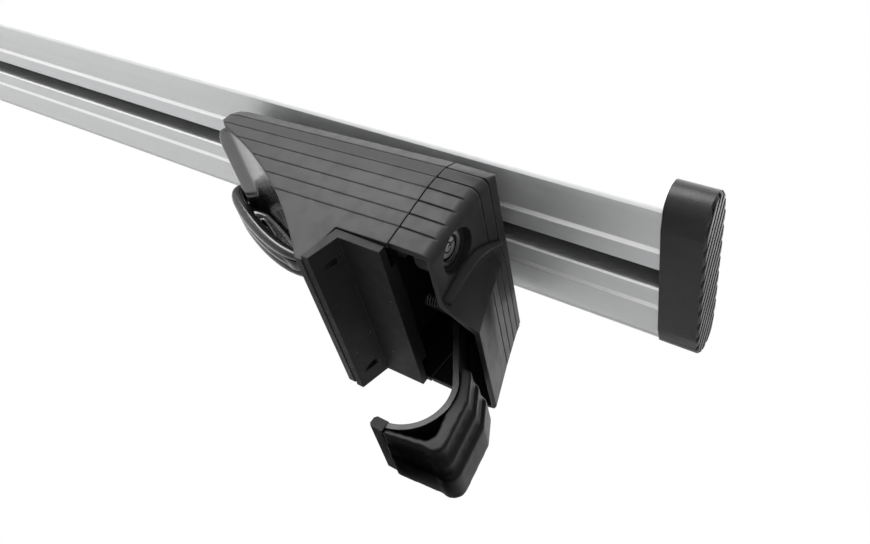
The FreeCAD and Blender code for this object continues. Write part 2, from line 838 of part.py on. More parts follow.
def tee_bolts(label, side):
    body = new_body(label, side)
    places = [(S.bolt_front, ORIGIN), (-S.bolt_back, ORIGIN)]
    low = S.slot_lip + S.bar_gap
    deck = -S.saddle_pad - S.bar_gap - S.deck_thickness
    reach = deck - S.washer_thickness - S.nut_thickness - S.thread_engage
    sketch = new_sketch(body, "XY_Plane", low)
    for across, along in places:
        box_outline(sketch, across - S.bolt_head_long / 2, across + S.bolt_head_long / 2,
                    along - S.bolt_head_wide / 2, along + S.bolt_head_wide / 2)
    pad(body, sketch, S.bolt_head_tall)
    post(body, reach, low, places, S.bolt_diameter / 2)


def bolt_washers(label, side):
    body = new_body(label, side)
    places = [(S.bolt_front, ORIGIN), (-S.bolt_back, ORIGIN)]
    deck = -S.saddle_pad - S.bar_gap - S.deck_thickness
    sketch = new_sketch(body, "XY_Plane", deck - S.washer_thickness)
    half = S.plate_width / 2
    for across, along in places:
        box_outline(sketch, across - half, across + half, along - half, along + half)
        circle(sketch, across, along, S.bolt_diameter / 2 + S.bolt_clearance)
    pad(body, sketch, S.washer_thickness)


def hexagon(centre_x, centre_y, across_flats):
    corner = across_flats / math.sqrt(3)
    points = []
    for step in range(6):
        angle = math.radians(60 * step)
        points.append((centre_x + corner * math.cos(angle), centre_y + corner * math.sin(angle)))
    return points


def bolt_nuts(label, side):
    body = new_body(label, side)
    places = [(S.bolt_front, ORIGIN), (-S.bolt_back, ORIGIN)]
    top = -S.saddle_pad - S.bar_gap - S.deck_thickness - S.washer_thickness
    sketch = new_sketch(body, "XY_Plane", top - S.nut_thickness)
    for across, along in places:
        outline(sketch, hexagon(across, along, S.nut_width))
        circle(sketch, across, along, S.bolt_diameter / 2 + S.thread_gap)
    pad(body, sketch, S.nut_thickness)


def clamp_nut(label, side):
    body = new_body(label, side)
    front = S.frame_front - S.nose_wall
    half = S.nut_width / 2
    sketch = new_sketch(body, "YZ_Plane", front)
    box_outline(sketch, S.screw_y - half, S.screw_y + half, -S.screw_z - half, half - S.screw_z)
    circle(sketch, S.screw_y, -S.screw_z, S.bolt_diameter / 2 + S.thread_gap)
    pad(body, sketch, S.nut_thickness)


# Clamp screw and jaw

def clamp_screw(label, side):
    body = new_body(label, side)
    seat = S.strap_x + S.strap_thickness + S.washer_thickness + S.thread_gap
    rod(body, seat - S.screw_length, seat, S.screw_y, -S.screw_z, S.bolt_diameter / 2)
    rod(body, seat, seat + S.screw_head_tall, S.screw_y, -S.screw_z, S.screw_head / 2)
    sketch = new_sketch(body, "YZ_Plane", seat + S.screw_head_tall)
    outline(sketch, hexagon(S.screw_y, -S.screw_z, S.hex_key))
    pocket(body, sketch, S.key_depth)


def screw_washer(label, side):
    body = new_body(label, side)
    face = S.strap_x + S.strap_thickness
    sketch = new_sketch(body, "YZ_Plane", face)
    circle(sketch, S.screw_y, -S.screw_z, S.screw_washer / 2)
    circle(sketch, S.screw_y, -S.screw_z, S.bolt_diameter / 2 + S.bolt_clearance)
    pad(body, sketch, S.washer_thickness)


def hook_point(radius, degrees):
    """A point on the hook's arc, at an angle above the horizontal."""
    angle = size(degrees)
    return (S.hook_x + radius * cosine(angle), -S.hook_z + radius * sine(angle))


def hook_curve(radius):
    middle = hook_point(radius, (S.hook_lean - S.hook_sweep) / 2)
    return [hook_point(radius, S.hook_lean), middle + ("arc",),
            hook_point(radius, -S.hook_sweep)]


def jaw_strap(label, side):
    body = new_body(label, side)
    thick = S.strap_thickness
    inner = hook_curve(S.hook_radius)
    outer = hook_curve(S.hook_radius + thick)
    slab(body, S.jaw_near, S.jaw_near + S.jaw_wide,
         [(S.strap_x + thick, -S.strap_top), (S.strap_x, -S.strap_top),
          (S.strap_x, -S.strap_knee)] + inner + list(reversed(outer))
         + [(S.strap_x + thick, -S.strap_knee + 0.6)])
    bore(body, S.strap_x - 1, S.strap_x + thick + 1, S.screw_y, -S.screw_z,
         S.bolt_diameter / 2 + S.bolt_clearance)


def jaw_cover_outline(grow):
    """The jaw cover's section, its outer side moved outwards by grow."""
    gap = S.jaw_cover_gap
    back = hook_curve(S.hook_radius + S.strap_thickness + gap)
    lean = cosine(S.hook_lean) / sine(S.hook_lean)
    start = back[0]
    top = -S.jaw_cover_top
    top_x = start[0] - (top - start[1]) / lean
    tip_x = back[-1][0]
    heel_x = S.hook_x + S.heel_x + grow
    heel_z = -S.hook_z - S.heel_z - grow * 0.4
    return [(top_x, top)] + back + [
        (tip_x, back[-1][1] - S.sole - grow * 0.2), (heel_x - S.heel_tall * 1.75, heel_z - 0.6),
        (heel_x - 1.2, heel_z + 0.8, "arc"), (heel_x, heel_z + S.heel_tall),
        (heel_x - S.sole, S.heel_tall - S.hook_z), (top_x + S.brow_x + grow, top - S.brow_z),
        (top_x + S.brow_x - S.brow_z + grow * 0.4, top)]


def jaw_cover(label, side):
    body = new_body(label, side)
    far = S.jaw_near + S.jaw_wide
    for step in range(JAW_RIDGES):
        near = S.jaw_near + S.ridge_run * step
        slab(body, near, far, jaw_cover_outline(S.ridge_step * step))
    radius = S.hook_radius + S.strap_thickness + S.jaw_cover_gap
    first, middle, last = [hook_point(radius, -size(degrees)) for degrees in HOLLOW_ANGLES]
    heel_x = S.hook_x + S.heel_x
    heel_z = -S.hook_z - S.heel_z
    slot(body, S.jaw_near - 1, far - S.sole,
         [first, middle + ("arc",), last, (heel_x - S.sole * 3, heel_z + S.sole),
          (heel_x - S.brow_x, heel_z + S.brow_x)])


def jaw_tip(label, side):
    body = new_body(label, side)
    top = hook_point(S.hook_radius, -S.hook_sweep)
    high = top[1] + S.tip_lift
    low = high - S.tip_tall
    end = top[0] - S.tip_long
    slab(body, S.jaw_near, S.jaw_near + S.jaw_wide,
         [(top[0], low), (top[0], high), (end + S.tip_bevel, high), (end, high - S.tip_bevel),
          (end, low + S.tip_bevel), (end + S.tip_bevel, low)])


# End cover and lock

def bulge_station(depth):
    """The bulge's reach, scoop start and crest at a depth, between the drawn stations."""
    span = S.cover_depth - S.bulge_start
    share = (size(depth) - S.bulge_start) / span
    lower = [item for item in BULGE_STATIONS if item[0] <= share.value + 0.001][-1]
    upper = [item for item in BULGE_STATIONS if item[0] > share.value + 0.001][:1]
    if not upper:
        return S.bulge_reach * lower[1], -S.half_width * lower[2], -S.half_width * lower[3]
    part = (share - lower[0]) / (upper[0][0] - lower[0])
    found = [lower[place] + part * (upper[0][place] - lower[place]) for place in (1, 2, 3)]
    return S.bulge_reach * found[0], -S.half_width * found[1], -S.half_width * found[2]


def bulge_section(depth, inset):
    """The outboard bulge's plan (x, y) at a depth, moved inwards by inset."""
    reach, start, crest = bulge_station(depth)
    face = S.foot_end - inset
    start = start + inset
    crest = crest + inset
    far = S.half_width - S.bulge_far - inset
    curve = [(face + reach * out, start + (crest - start) * share) for share, out in SCOOP_CURVE]
    corner = [(face + reach * out, far - S.bulge_corner * share) for share, out in BULGE_CORNER]
    return curve + corner


def bulge_loft(body):
    """The bulge's full height through all its stations."""
    root = S.foot_end - S.cover_wall - 1
    sketches = []
    for share, *rest in BULGE_STATIONS:
        depth = S.bulge_start + (S.cover_depth - S.bulge_start) * share
        plan = bulge_section(depth, ORIGIN)
        sketch = new_sketch(body, "XY_Plane", -depth)
        outline(sketch, [(root, plan[0][1])] + plan + [(root, plan[-1][1])])
        sketches.append(sketch)
    return loft(body, "AdditiveLoft", sketches)


def bulge_hollow(body):
    """The bulge's hollow, open below, which clears the clamp screw's head."""
    wall = S.cover_wall
    root = S.foot_end - wall * 2
    sketches = []
    for depth in (S.cover_depth, S.bulge_start + wall * 3):
        reach, start, crest = bulge_station(depth)
        face = S.foot_end - wall
        far = S.half_width - S.bulge_far - wall
        sketch = new_sketch(body, "XY_Plane", -depth)
        outline(sketch, [(root, start + wall), (face, start + wall), (face + reach, crest + wall),
                         (face + reach, far), (root, far)])
        sketches.append(sketch)
    return loft(body, "SubtractiveLoft", sketches)


def corner_points(face, wide, bend):
    """Points round a quarter turn, from the cover's end face to its side (x, y)."""
    points = []
    for degrees in CORNER_ANGLES:
        angle = size(degrees)
        points.append((face - bend + bend * cosine(angle), wide - bend + bend * sine(angle)))
    return points


def round_cover_corners(body):
    """Rounds the cover's two vertical corners and its upper outboard edge."""
    face = S.foot_end
    bend = S.cover_corner
    widest = S.groove_first + S.groove_pitch * 2
    clear = S.half_width + OVERRUN
    for mirror in (1, -1):
        plans = []
        for depth in (widest, S.cover_depth + 1):
            wide = foot_half_width(depth, S.seam_place)
            plan = [(face + OVERRUN, clear), (face + OVERRUN, wide - bend)]
            plan = plan + corner_points(face, wide, bend) + [(face - bend, clear)]
            plans.append([(across, mirror * along) for across, along in plan])
        sketch = new_sketch(body, "XY_Plane", ORIGIN)
        outline(sketch, plans[0])
        pocket(body, sketch, widest)
        sketches = []
        for depth, plan in zip((widest, S.cover_depth + 1), plans):
            sketch = new_sketch(body, "XY_Plane", -depth)
            outline(sketch, plan)
            sketches.append(sketch)
        loft(body, "SubtractiveLoft", sketches)
    brow = S.cover_brow
    share = 1 - math.sqrt(0.5)
    top = -S.neck_height
    sketch = new_sketch(body, "XZ_Plane")
    outline(sketch, [(face - brow, top), (face - brow * share, top - brow * share, "arc"),
                     (face, top - brow), (face + OVERRUN, top - brow), (face + OVERRUN, ORIGIN),
                     (face - brow, ORIGIN)])
    pocket(body, sketch, clear * 2, centred=True)


def cut_cover_grooves(body, start):
    """Fine grooves along both sides; the upper ones run round the end and over the bulge."""
    before = start - OVERRUN
    out = S.foot_end + OVERRUN * 2
    clear = S.half_width + OVERRUN
    face = S.foot_end - S.groove_depth
    bend = S.cover_corner - S.groove_depth
    stop = S.foot_end - S.cover_corner / 2
    for step in range(SIDE_GROOVES):
        depth = S.groove_first + S.groove_pitch * step
        if step == 0:
            wide = S.half_width - S.shoulder_inset
        elif step < STRAIGHT_GROOVES:
            wide = S.half_width
        else:
            wide = foot_half_width(depth, S.seam_place)
        floor = wide - S.groove_depth
        plan = bulge_section(depth, S.groove_depth)
        if step < END_GROOVES:
            turn = [(across, -along) for across, along in corner_points(face, floor, bend)]
            ring = list(reversed(turn)) + plan
        elif step < BULGE_GROOVES:
            crest = len(SCOOP_CURVE) - 1
            ring = [(stop, -floor), (stop, -clear), (out, -clear), (out, plan[crest][1])]
            ring = ring + plan[crest:]
        else:
            ring = [(stop, -floor), (stop, -clear), (out, -clear), (out, clear), (stop, clear)]
        ring = [(before, -floor)] + ring + [(stop, floor), (before, floor)]
        sketch = new_sketch(body, "XY_Plane", -depth + S.groove_width / 2)
        box_outline(sketch, before - 1, out + 1, -clear - 1, clear + 1)
        outline(sketch, ring)
        pocket(body, sketch, S.groove_width)


def end_cover(label, side):
    body = new_body(label, side)
    start = S.seam_place + S.seam_gap
    sketch = new_sketch(body, "YZ_Plane", start)
    outline(sketch, foot_section(ORIGIN, ORIGIN, False, S.cover_depth))
    pad(body, sketch, S.foot_end - start)
    round_cover_corners(body)
    bulge_loft(body)
    cut_cover_grooves(body, start)
    sketch = new_sketch(body, "YZ_Plane", start - 1)
    outline(sketch, foot_section(S.cover_wall, ORIGIN, False, S.cover_depth + OVERRUN))
    pocket(body, sketch, S.foot_end - S.cover_wall - start + 1, backwards=True)
    bulge_hollow(body)
    boss_end = S.foot_end - S.lock_recess_depth - S.boss_long
    rod(body, boss_end, S.foot_end - S.cover_wall / 2, -S.lock_y, -S.lock_z,
        S.lock_recess + S.boss_wall)
    bore(body, S.foot_end - S.lock_recess_depth, S.foot_end + 1, -S.lock_y, -S.lock_z, S.lock_recess)
    bore(body, boss_end - 1, S.foot_end + 1, -S.lock_y, -S.lock_z, S.lock_radius + S.lock_gap)
    top = -S.neck_height - S.shell_wall - S.frame_gap
    root = -S.neck_height - S.cover_wall / 2
    slab(body, -S.tongue_half, S.tongue_half,
         [(start - S.tongue_length, top), (start, top), (start, root),
          (start + S.tongue_root, root), (start + S.tongue_root, top - S.tongue_thickness),
          (start - S.tongue_length, top - S.tongue_thickness)])


def lock_housing(label, side):
    body = new_body(label, side)
    front = S.foot_end - S.lock_recess_depth
    rod(body, front - S.lock_length, front, -S.lock_y, -S.lock_z, S.lock_radius)
    bore(body, front - S.lock_length - 1, front + 1, -S.lock_y, -S.lock_z,
         S.barrel_radius + S.lock_gap)


def lock_barrel(label, side):
    body = new_body(label, side)
    front = S.foot_end - S.lock_recess_depth - S.barrel_set
    back = S.foot_end - S.lock_recess_depth - S.lock_length
    rod(body, back, front, -S.lock_y, -S.lock_z, S.barrel_radius)
    rod(body, back - S.cam_thickness - S.barrel_set, back, -S.lock_y, -S.lock_z, S.cam_stub)
    sketch = new_sketch(body, "YZ_Plane", front)
    half = S.keyway / 2
    box_outline(sketch, -S.lock_y - half, half - S.lock_y, -S.lock_z, S.barrel_radius - S.lock_z)
    pocket(body, sketch, S.keyway * 2)


def lock_cam(label, side):
    body = new_body(label, side)
    back = S.foot_end - S.lock_recess_depth - S.lock_length
    sketch = new_sketch(body, "YZ_Plane", back - S.cam_thickness)
    half = S.cam_half
    radius = half * 1.5
    outline(sketch, [(-S.lock_y, -S.lock_z - radius), (S.cam_reach - S.lock_y, -S.lock_z - half),
                     (S.cam_reach - S.lock_y, half - S.lock_z), (-S.lock_y, radius - S.lock_z),
                     (-S.lock_y - radius, -S.lock_z, "arc")])
    circle(sketch, -S.lock_y, -S.lock_z, S.cam_stub + S.thread_gap)
    pad(body, sketch, S.cam_thickness)


FOOT_PIECES = (
    ("foot_shell", foot_shell),
    ("inner_cover", inner_cover),
    ("foot_frame", foot_frame),
    ("saddle_pad", saddle_pad),
    ("rail_pad", rail_pad),
    ("tee_bolts", tee_bolts),
    ("bolt_washers", bolt_washers),
    ("bolt_nuts", bolt_nuts),
    ("clamp_nut", clamp_nut),
    ("clamp_screw", clamp_screw),
    ("screw_washer", screw_washer),
    ("jaw_strap", jaw_strap),
    ("jaw_cover", jaw_cover),
    ("jaw_tip", jaw_tip),
    ("end_cover", end_cover),
    ("lock_housing", lock_housing),
    ("lock_barrel", lock_barrel),
    ("lock_cam", lock_cam),
)


def main():
    bar_profile()
    top_strip()
    for name, side in (("right", 1), ("left", -1)):
        end_cap("end_cap_" + name, side)
        for piece, build in FOOT_PIECES:
            build(piece + "_" + name, side)
    doc.recompute()
    for item in doc.Objects:
        if "Invalid" in item.State or "Error" in item.State:
            raise RuntimeError("%s failed: %s" % (item.Label, item.getStatusString()))
    for body in parts:
        if body.Shape.isNull() or not body.Shape.isValid():
            raise RuntimeError(body.Label + " has no valid shape")
    for body in parts:
        body.Shape.exportStep("parts/" + body.Label + ".step")


main()
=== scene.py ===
import math

import bmesh
import bpy
from bpy.props import FloatProperty, FloatVectorProperty, PointerProperty
from mathutils import Matrix, Vector


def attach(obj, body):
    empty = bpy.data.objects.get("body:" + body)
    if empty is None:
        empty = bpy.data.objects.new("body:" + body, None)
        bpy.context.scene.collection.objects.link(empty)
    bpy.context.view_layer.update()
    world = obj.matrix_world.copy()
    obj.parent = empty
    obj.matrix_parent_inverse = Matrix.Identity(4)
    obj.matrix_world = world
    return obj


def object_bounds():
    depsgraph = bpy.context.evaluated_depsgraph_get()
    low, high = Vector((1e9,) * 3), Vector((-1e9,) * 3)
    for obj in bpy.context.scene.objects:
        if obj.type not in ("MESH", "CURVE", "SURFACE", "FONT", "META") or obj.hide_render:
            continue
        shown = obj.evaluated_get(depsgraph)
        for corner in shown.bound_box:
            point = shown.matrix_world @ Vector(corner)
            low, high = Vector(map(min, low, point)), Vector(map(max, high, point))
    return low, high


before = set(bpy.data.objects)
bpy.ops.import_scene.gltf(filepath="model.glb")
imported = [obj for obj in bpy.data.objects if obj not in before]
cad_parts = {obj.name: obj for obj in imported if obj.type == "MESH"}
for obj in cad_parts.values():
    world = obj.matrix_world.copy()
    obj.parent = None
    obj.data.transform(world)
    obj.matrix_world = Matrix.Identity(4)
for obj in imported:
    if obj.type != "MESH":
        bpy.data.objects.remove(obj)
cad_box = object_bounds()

bl_info = {
    "name": "Roof Rack Crossbar",
    "version": (1, 0, 0),
    "blender": (4, 5, 0),
    "location": "3D View > Sidebar > Crossbar",
    "description": "Finishes, small fittings and a stage for a roof rack crossbar",
    "category": "Object",
}

# All lengths are in metres. A foot's own places are measured from the foot's middle.
SIDES = (("right", 1), ("left", -1))
FOOT_MIDDLE = 0.458
LOCK_ACROSS = 0.031
LOCK_HEIGHT = -0.040

# The bar's section, where its painted highlights and painted shade start and stop: each pair is
# the start and the end of a change, measured across from the bar's middle line, or up from its
# underside
NOSE_EDGE = (0.0333, 0.0335)
GROOVE_ACROSS = ((0.0141, 0.0142), (0.0168, 0.0169))
GROOVE_ROOF = (0.0020, 0.0022)
LIP_ACROSS = ((0.0050, 0.0051), (0.0057, 0.0058))
LIP_ROOF = (0.0010, 0.0012)
SLOT_ACROSS = (0.0101, 0.0103)
SLOT_UP = ((0.0009, 0.0024), (0.0080, 0.0082))
# The slot's painted shade: darkest high up inside it and near its middle
SLOT_SHADE_UP = (0.0048, 0.0074)
SLOT_SHADE_ACROSS = (0.003, 0.0095)

# Radii of the gaps in the lock's front, where the colour is painted dark as shade
HOUSING_GAPS = ((0.0, 0.0052),)
CORE_GAPS = ((0.0016, 0.0022), (0.0040, 0.006))
GAP_EDGE = 0.0001

# The scoop's rim runs through places given as (X, Y, Z), and each rib of the grip through
# places given as (X, Z); the radii are shares of the rim's thickness and of half a rib's
SCOOP_LINE = ((0.0690, -0.0128, -0.0160), (0.0684, -0.0207, -0.0273),
              (0.0682, -0.0216, -0.0410), (0.0682, -0.0176, -0.0530))
SCOOP_RADII = (0.15, 0.4, 0.5, 0.5)
GRIP_LINE = ((-0.0720, -0.0150), (-0.0800, -0.0156), (-0.0822, -0.0186), (-0.0790, -0.0226),
             (-0.0650, -0.0303), (-0.0450, -0.0378), (-0.0270, -0.0412), (-0.0190, -0.0400))
GRIP_RADII = (0.5, 0.85, 0.95, 1.0, 1.0, 0.95, 0.8, 0.4)
GRIP_PLACE = 0.017
GRIP_STEPS = (-1, 0, 1)

# Surfaces
WELD_DISTANCE = 0.000002
ROD_WELD_DISTANCE = 0.000001
FINE_MESH = 0.0007
# How much of the steel's brightness the clamp screws keep in the dark behind their covers
SHADED_STEEL = 0.2
# The scale of the drawn lines' noise along X, Y and Z: low along X, where the lines run
DRAW_STRETCH = (0.012, 1.0, 1.0)
# Painted highlight on the bar's grooves and slot lips
PAINTED_HIGHLIGHT = (0.98, 0.98, 0.98)
# The bar's edges painted paler: partly rubbing, partly a painted highlight
RUBBED_EDGE_AND_HIGHLIGHT = (0.95, 0.95, 0.95)
# Painted shade inside the bar's lower slot
SLOT_PAINTED_SHADE = (0.002, 0.002, 0.002)
# Painted shade in the gaps of the locks' fronts
GAP_PAINTED_SHADE = (0.004, 0.004, 0.004)
DUST_COLOUR = (0.5, 0.5, 0.5)
# The wave texture's scale at which it makes one wave to the metre
WAVE_SCALE = 0.3142

# The stage
FLOOR_GAP = 0.0005
FLOOR_BOUNCE = 0.35
FLOOR_MIRRORED = (0.95, 0.95, 0.95)
FLOOR_FADE = (0.12, 0.3)
KEY_PLACE, KEY_TARGET, KEY_WIDTH = (-0.35, -1.55, 0.4), (0.4, 0, -0.03), 1.3
TOP_PLACE, TOP_TARGET, TOP_WIDTH = (0.2, 0.3, 2.4), (0.2, 0, 0), 4.0
CAMERA_PLACE = (0.6580, -0.2316, -0.18705)
CAMERA_RIGHT = (0.8200, 0.1815, 0.5428)
CAMERA_AHEAD = (-0.4846, 0.7249, 0.4896)
SENSOR_WIDTH = 36.0
NEAREST_SEEN = 0.01


# Sizes and colours a user may change

class CrossbarFinishes(bpy.types.PropertyGroup):
    aluminium_colour: FloatVectorProperty(
        name="Aluminium", description="Colour of the anodised bar", subtype="COLOR",
        default=(0.69, 0.695, 0.70), min=0, max=1)
    aluminium_roughness: FloatProperty(
        name="Aluminium roughness", description="How matt the anodised bar is",
        default=0.56, min=0, max=1)
    draw_line: FloatProperty(
        name="Draw line", description="Width of the extrusion's fine lengthwise lines",
        default=0.0006, unit="LENGTH")
    shell_colour: FloatVectorProperty(
        name="Foot plastic", description="Colour of the feet's grained plastic", subtype="COLOR",
        default=(0.024, 0.024, 0.0255), min=0, max=1)
    grain_size: FloatProperty(
        name="Grain", description="Size of the moulded plastic's grain",
        default=0.0007, unit="LENGTH")
    jaw_colour: FloatVectorProperty(
        name="Jaw plastic", description="Colour of the jaws' stepped covers", subtype="COLOR",
        default=(0.005, 0.005, 0.0055), min=0, max=1)
    cap_colour: FloatVectorProperty(
        name="Cap plastic", description="Colour of the bar's end caps", subtype="COLOR",
        default=(0.006, 0.006, 0.0065), min=0, max=1)
    panel_colour: FloatVectorProperty(
        name="Panel plastic", description="Colour of the glossy inner covers", subtype="COLOR",
        default=(0.012, 0.012, 0.013), min=0, max=1)
    rubber_colour: FloatVectorProperty(
        name="Rubber", description="Colour of the pads and of the bar's strip", subtype="COLOR",
        default=(0.012, 0.012, 0.012), min=0, max=1)
    steel_colour: FloatVectorProperty(
        name="Steel", description="Colour of the plated fixings", subtype="COLOR",
        default=(0.52, 0.52, 0.5), min=0, max=1)
    frame_colour: FloatVectorProperty(
        name="Black paint", description="Colour of the painted frames and straps",
        subtype="COLOR", default=(0.012, 0.012, 0.013), min=0, max=1)
    lock_colour: FloatVectorProperty(
        name="Lock metal", description="Colour of the locks' plated metal", subtype="COLOR",
        default=(0.45, 0.45, 0.46), min=0, max=1)


class CrossbarFittings(bpy.types.PropertyGroup):
    thread_pitch: FloatProperty(
        name="Thread pitch", description="Distance between the turns of the screws' threads",
        default=0.00125, unit="LENGTH")
    grip_thickness: FloatProperty(
        name="Grip rib", description="Thickness of each rounded rib of the inner covers' grips",
        default=0.0064, unit="LENGTH")
    grip_spacing: FloatProperty(
        name="Grip rib spacing", description="Distance between the ribs of a grip",
        default=0.0054, unit="LENGTH")
    rim_thickness: FloatProperty(
        name="Scoop rim", description="Thickness of the soft rim beside the end covers' scoops",
        default=0.0052, unit="LENGTH")


class CrossbarStage(bpy.types.PropertyGroup):
    floor_colour: FloatVectorProperty(
        name="Floor", description="Colour of the floor", subtype="COLOR",
        default=(0.8, 0.8, 0.8), min=0, max=1)
    floor_width: FloatProperty(
        name="Floor width", description="Width of the square floor", default=8.0, unit="LENGTH")
    key_power: FloatProperty(
        name="Key light", description="Power of the large lamp on the near side",
        default=56.0, unit="POWER")
    top_power: FloatProperty(
        name="Top light", description="Power of the large lamp overhead",
        default=60.0, unit="POWER")
    sky_strength: FloatProperty(
        name="Sky", description="Strength of the pale surroundings on the object",
        default=0.1, min=0)
    lens: FloatProperty(
        name="Lens", description="The camera's focal length in millimetres",
        default=33.54, min=1)


# Node groups and materials

VECTOR_INPUT = ("Vector", "NodeSocketVector", None)
SIZE_INPUT = ("Size", "NodeSocketFloat", 0.001)
RADIUS_INPUT = ("Radius", "NodeSocketFloat", 0.0003)


def empty_group(name, inputs, outputs, vectors=()):
    """An empty shader node group: its tree, its entry and its exit, with named sockets."""
    tree = bpy.data.node_groups.new(name, "ShaderNodeTree")
    for socket, kind, start in inputs:
        made = tree.interface.new_socket(name=socket, in_out="INPUT", socket_type=kind)
        if start is not None:
            made.default_value = start
    for sockets, kind in ((vectors, "NodeSocketVector"), (outputs, "NodeSocketFloat")):
        for socket in sockets:
            tree.interface.new_socket(name=socket, in_out="OUTPUT", socket_type=kind)
    return tree, tree.nodes.new("NodeGroupInput"), tree.nodes.new("NodeGroupOutput")


def math_node(tree, operation, first, second=None):
    """One step of arithmetic on sockets or numbers."""
    node = tree.nodes.new("ShaderNodeMath")
    node.operation = operation
    for place, source in enumerate((first, second)):
        if source is None:
            continue
        if isinstance(source, (int, float)):
            node.inputs[place].default_value = source
        else:
            tree.links.new(source, node.inputs[place])
    return node.outputs[0]


def vector_node(tree, operation, first, second=None, result="Vector"):
    """One step of vector arithmetic; the second value is a socket or plain numbers."""
    node = tree.nodes.new("ShaderNodeVectorMath")
    node.operation = operation
    tree.links.new(first, node.inputs[0])
    if isinstance(second, tuple):
        node.inputs[1].default_value = second
    elif second is not None:
        tree.links.new(second, node.inputs[1])
    return node.outputs[result]


def noise_node(tree, vector, scale, detail=3.0, roughness=0.5):
    """Soft noise over a surface; the scale is a socket or a number."""
    node = tree.nodes.new("ShaderNodeTexNoise")
    node.inputs["Detail"].default_value = detail
    node.inputs["Roughness"].default_value = roughness
    tree.links.new(vector, node.inputs["Vector"])
    if isinstance(scale, (int, float)):
        node.inputs["Scale"].default_value = scale
    else:
        tree.links.new(scale, node.inputs["Scale"])
    return node.outputs["Fac"]


def grain_group():
    """Moulded grain: fine pebbles for the height, slow patches for the colour and the gloss."""
    tree, entry, leave = empty_group(
        "Moulded grain", [VECTOR_INPUT, SIZE_INPUT], ["Height", "Patches"])
    scale = math_node(tree, "DIVIDE", 1.0, entry.outputs["Size"])
    cells = tree.nodes.new("ShaderNodeTexVoronoi")
    cells.feature = "SMOOTH_F1"
    tree.links.new(entry.outputs["Vector"], cells.inputs["Vector"])
    tree.links.new(scale, cells.inputs["Scale"])
    fine = noise_node(tree, entry.outputs["Vector"], scale, detail=2.0)
    height = math_node(tree, "ADD", cells.outputs["Distance"], fine)
    tree.links.new(height, leave.inputs["Height"])
    patches = noise_node(tree, entry.outputs["Vector"], scale=38.0, detail=4.0, roughness=0.6)
    tree.links.new(patches, leave.inputs["Patches"])


def drawn_group():
    """Drawn metal: fine lines along X for the height, slow streaks for the colour."""
    tree, entry, leave = empty_group(
        "Drawn lines", [VECTOR_INPUT, SIZE_INPUT], ["Height", "Streaks"])
    drawn_out = vector_node(tree, "MULTIPLY", entry.outputs["Vector"], DRAW_STRETCH)
    scale = math_node(tree, "DIVIDE", 1.0, entry.outputs["Size"])
    fine = noise_node(tree, drawn_out, scale)
    tree.links.new(fine, leave.inputs["Height"])
    slow = noise_node(tree, drawn_out, scale=260.0, detail=4.0, roughness=0.55)
    tree.links.new(slow, leave.inputs["Streaks"])


def handling_group():
    """Handling marks: a mask of soft smears with a few short scuffs."""
    tree, entry, leave = empty_group("Handling marks", [VECTOR_INPUT], ["Mask"])
    smears = noise_node(tree, entry.outputs["Vector"], scale=14.0, detail=5.0, roughness=0.65)
    scuffs = noise_node(tree, entry.outputs["Vector"], scale=190.0, detail=2.0)
    tree.links.new(times(tree, times(tree, smears, scuffs), 2.4), leave.inputs["Mask"])


def soft_edge_group():
    """Soft edges: a normal that rounds each edge a little, and a mask of where the edges are."""
    tree, entry, leave = empty_group("Soft edges", [RADIUS_INPUT], ["Edge"], ["Normal"])
    bevel = tree.nodes.new("ShaderNodeBevel")
    bevel.samples = 6
    tree.links.new(entry.outputs["Radius"], bevel.inputs["Radius"])
    surface = tree.nodes.new("ShaderNodeNewGeometry")
    agree = vector_node(tree, "DOT_PRODUCT", bevel.outputs["Normal"],
                        surface.outputs["Normal"], "Value")
    tree.links.new(falling(tree, agree, (0.86, 0.995)), leave.inputs["Edge"])
    tree.links.new(bevel.outputs["Normal"], leave.inputs["Normal"])


def dust_group():
    """Dust: a mask of sparse pale specks, a few to the square centimetre."""
    tree, entry, leave = empty_group("Dust", [VECTOR_INPUT], ["Mask"])
    specks = tree.nodes.new("ShaderNodeTexVoronoi")
    specks.inputs["Scale"].default_value = 420.0
    tree.links.new(entry.outputs["Vector"], specks.inputs["Vector"])
    near = falling(tree, specks.outputs["Distance"], (0.05, 0.13))
    pick = tree.nodes.new("ShaderNodeSeparateColor")
    tree.links.new(specks.outputs["Color"], pick.inputs["Color"])
    some = rising(tree, pick.outputs["Red"], (0.9, 0.96))
    tree.links.new(times(tree, near, some), leave.inputs["Mask"])


def shared_groups():
    """Makes the node groups that the materials share, once."""
    for name, make in (("Moulded grain", grain_group), ("Drawn lines", drawn_group),
                       ("Handling marks", handling_group), ("Soft edges", soft_edge_group),
                       ("Dust", dust_group)):
        if name not in bpy.data.node_groups:
            make()


def shaded_material(name):
    """A material with its shader and the piece's own coordinates."""
    shared_groups()
    material = bpy.data.materials.new(name)
    material.use_nodes = True
    tree = material.node_tree
    shader = tree.nodes["Principled BSDF"]
    place = tree.nodes.new("ShaderNodeTexCoord")
    return material, tree, shader, place.outputs["Object"]


def placed_group(tree, name, vector, size=None):
    """One of the shared groups, laid over the piece's coordinates."""
    node = tree.nodes.new("ShaderNodeGroup")
    node.node_tree = bpy.data.node_groups[name]
    tree.links.new(vector, node.inputs["Vector"])
    if size is not None:
        node.inputs["Size"].default_value = size
    return node


def ramp_node(tree, source, low, high, start, end):
    """Goes from low to high while the source goes from start to end."""
    node = tree.nodes.new("ShaderNodeMapRange")
    node.inputs["From Min"].default_value = start
    node.inputs["From Max"].default_value = end
    node.inputs["To Min"].default_value = low
    node.inputs["To Max"].default_value = high
    tree.links.new(source, node.inputs["Value"])
    return node.outputs["Result"]


def rising(tree, source, change):
    """0 before a change and 1 after it."""
    return ramp_node(tree, source, 0.0, 1.0, *change)


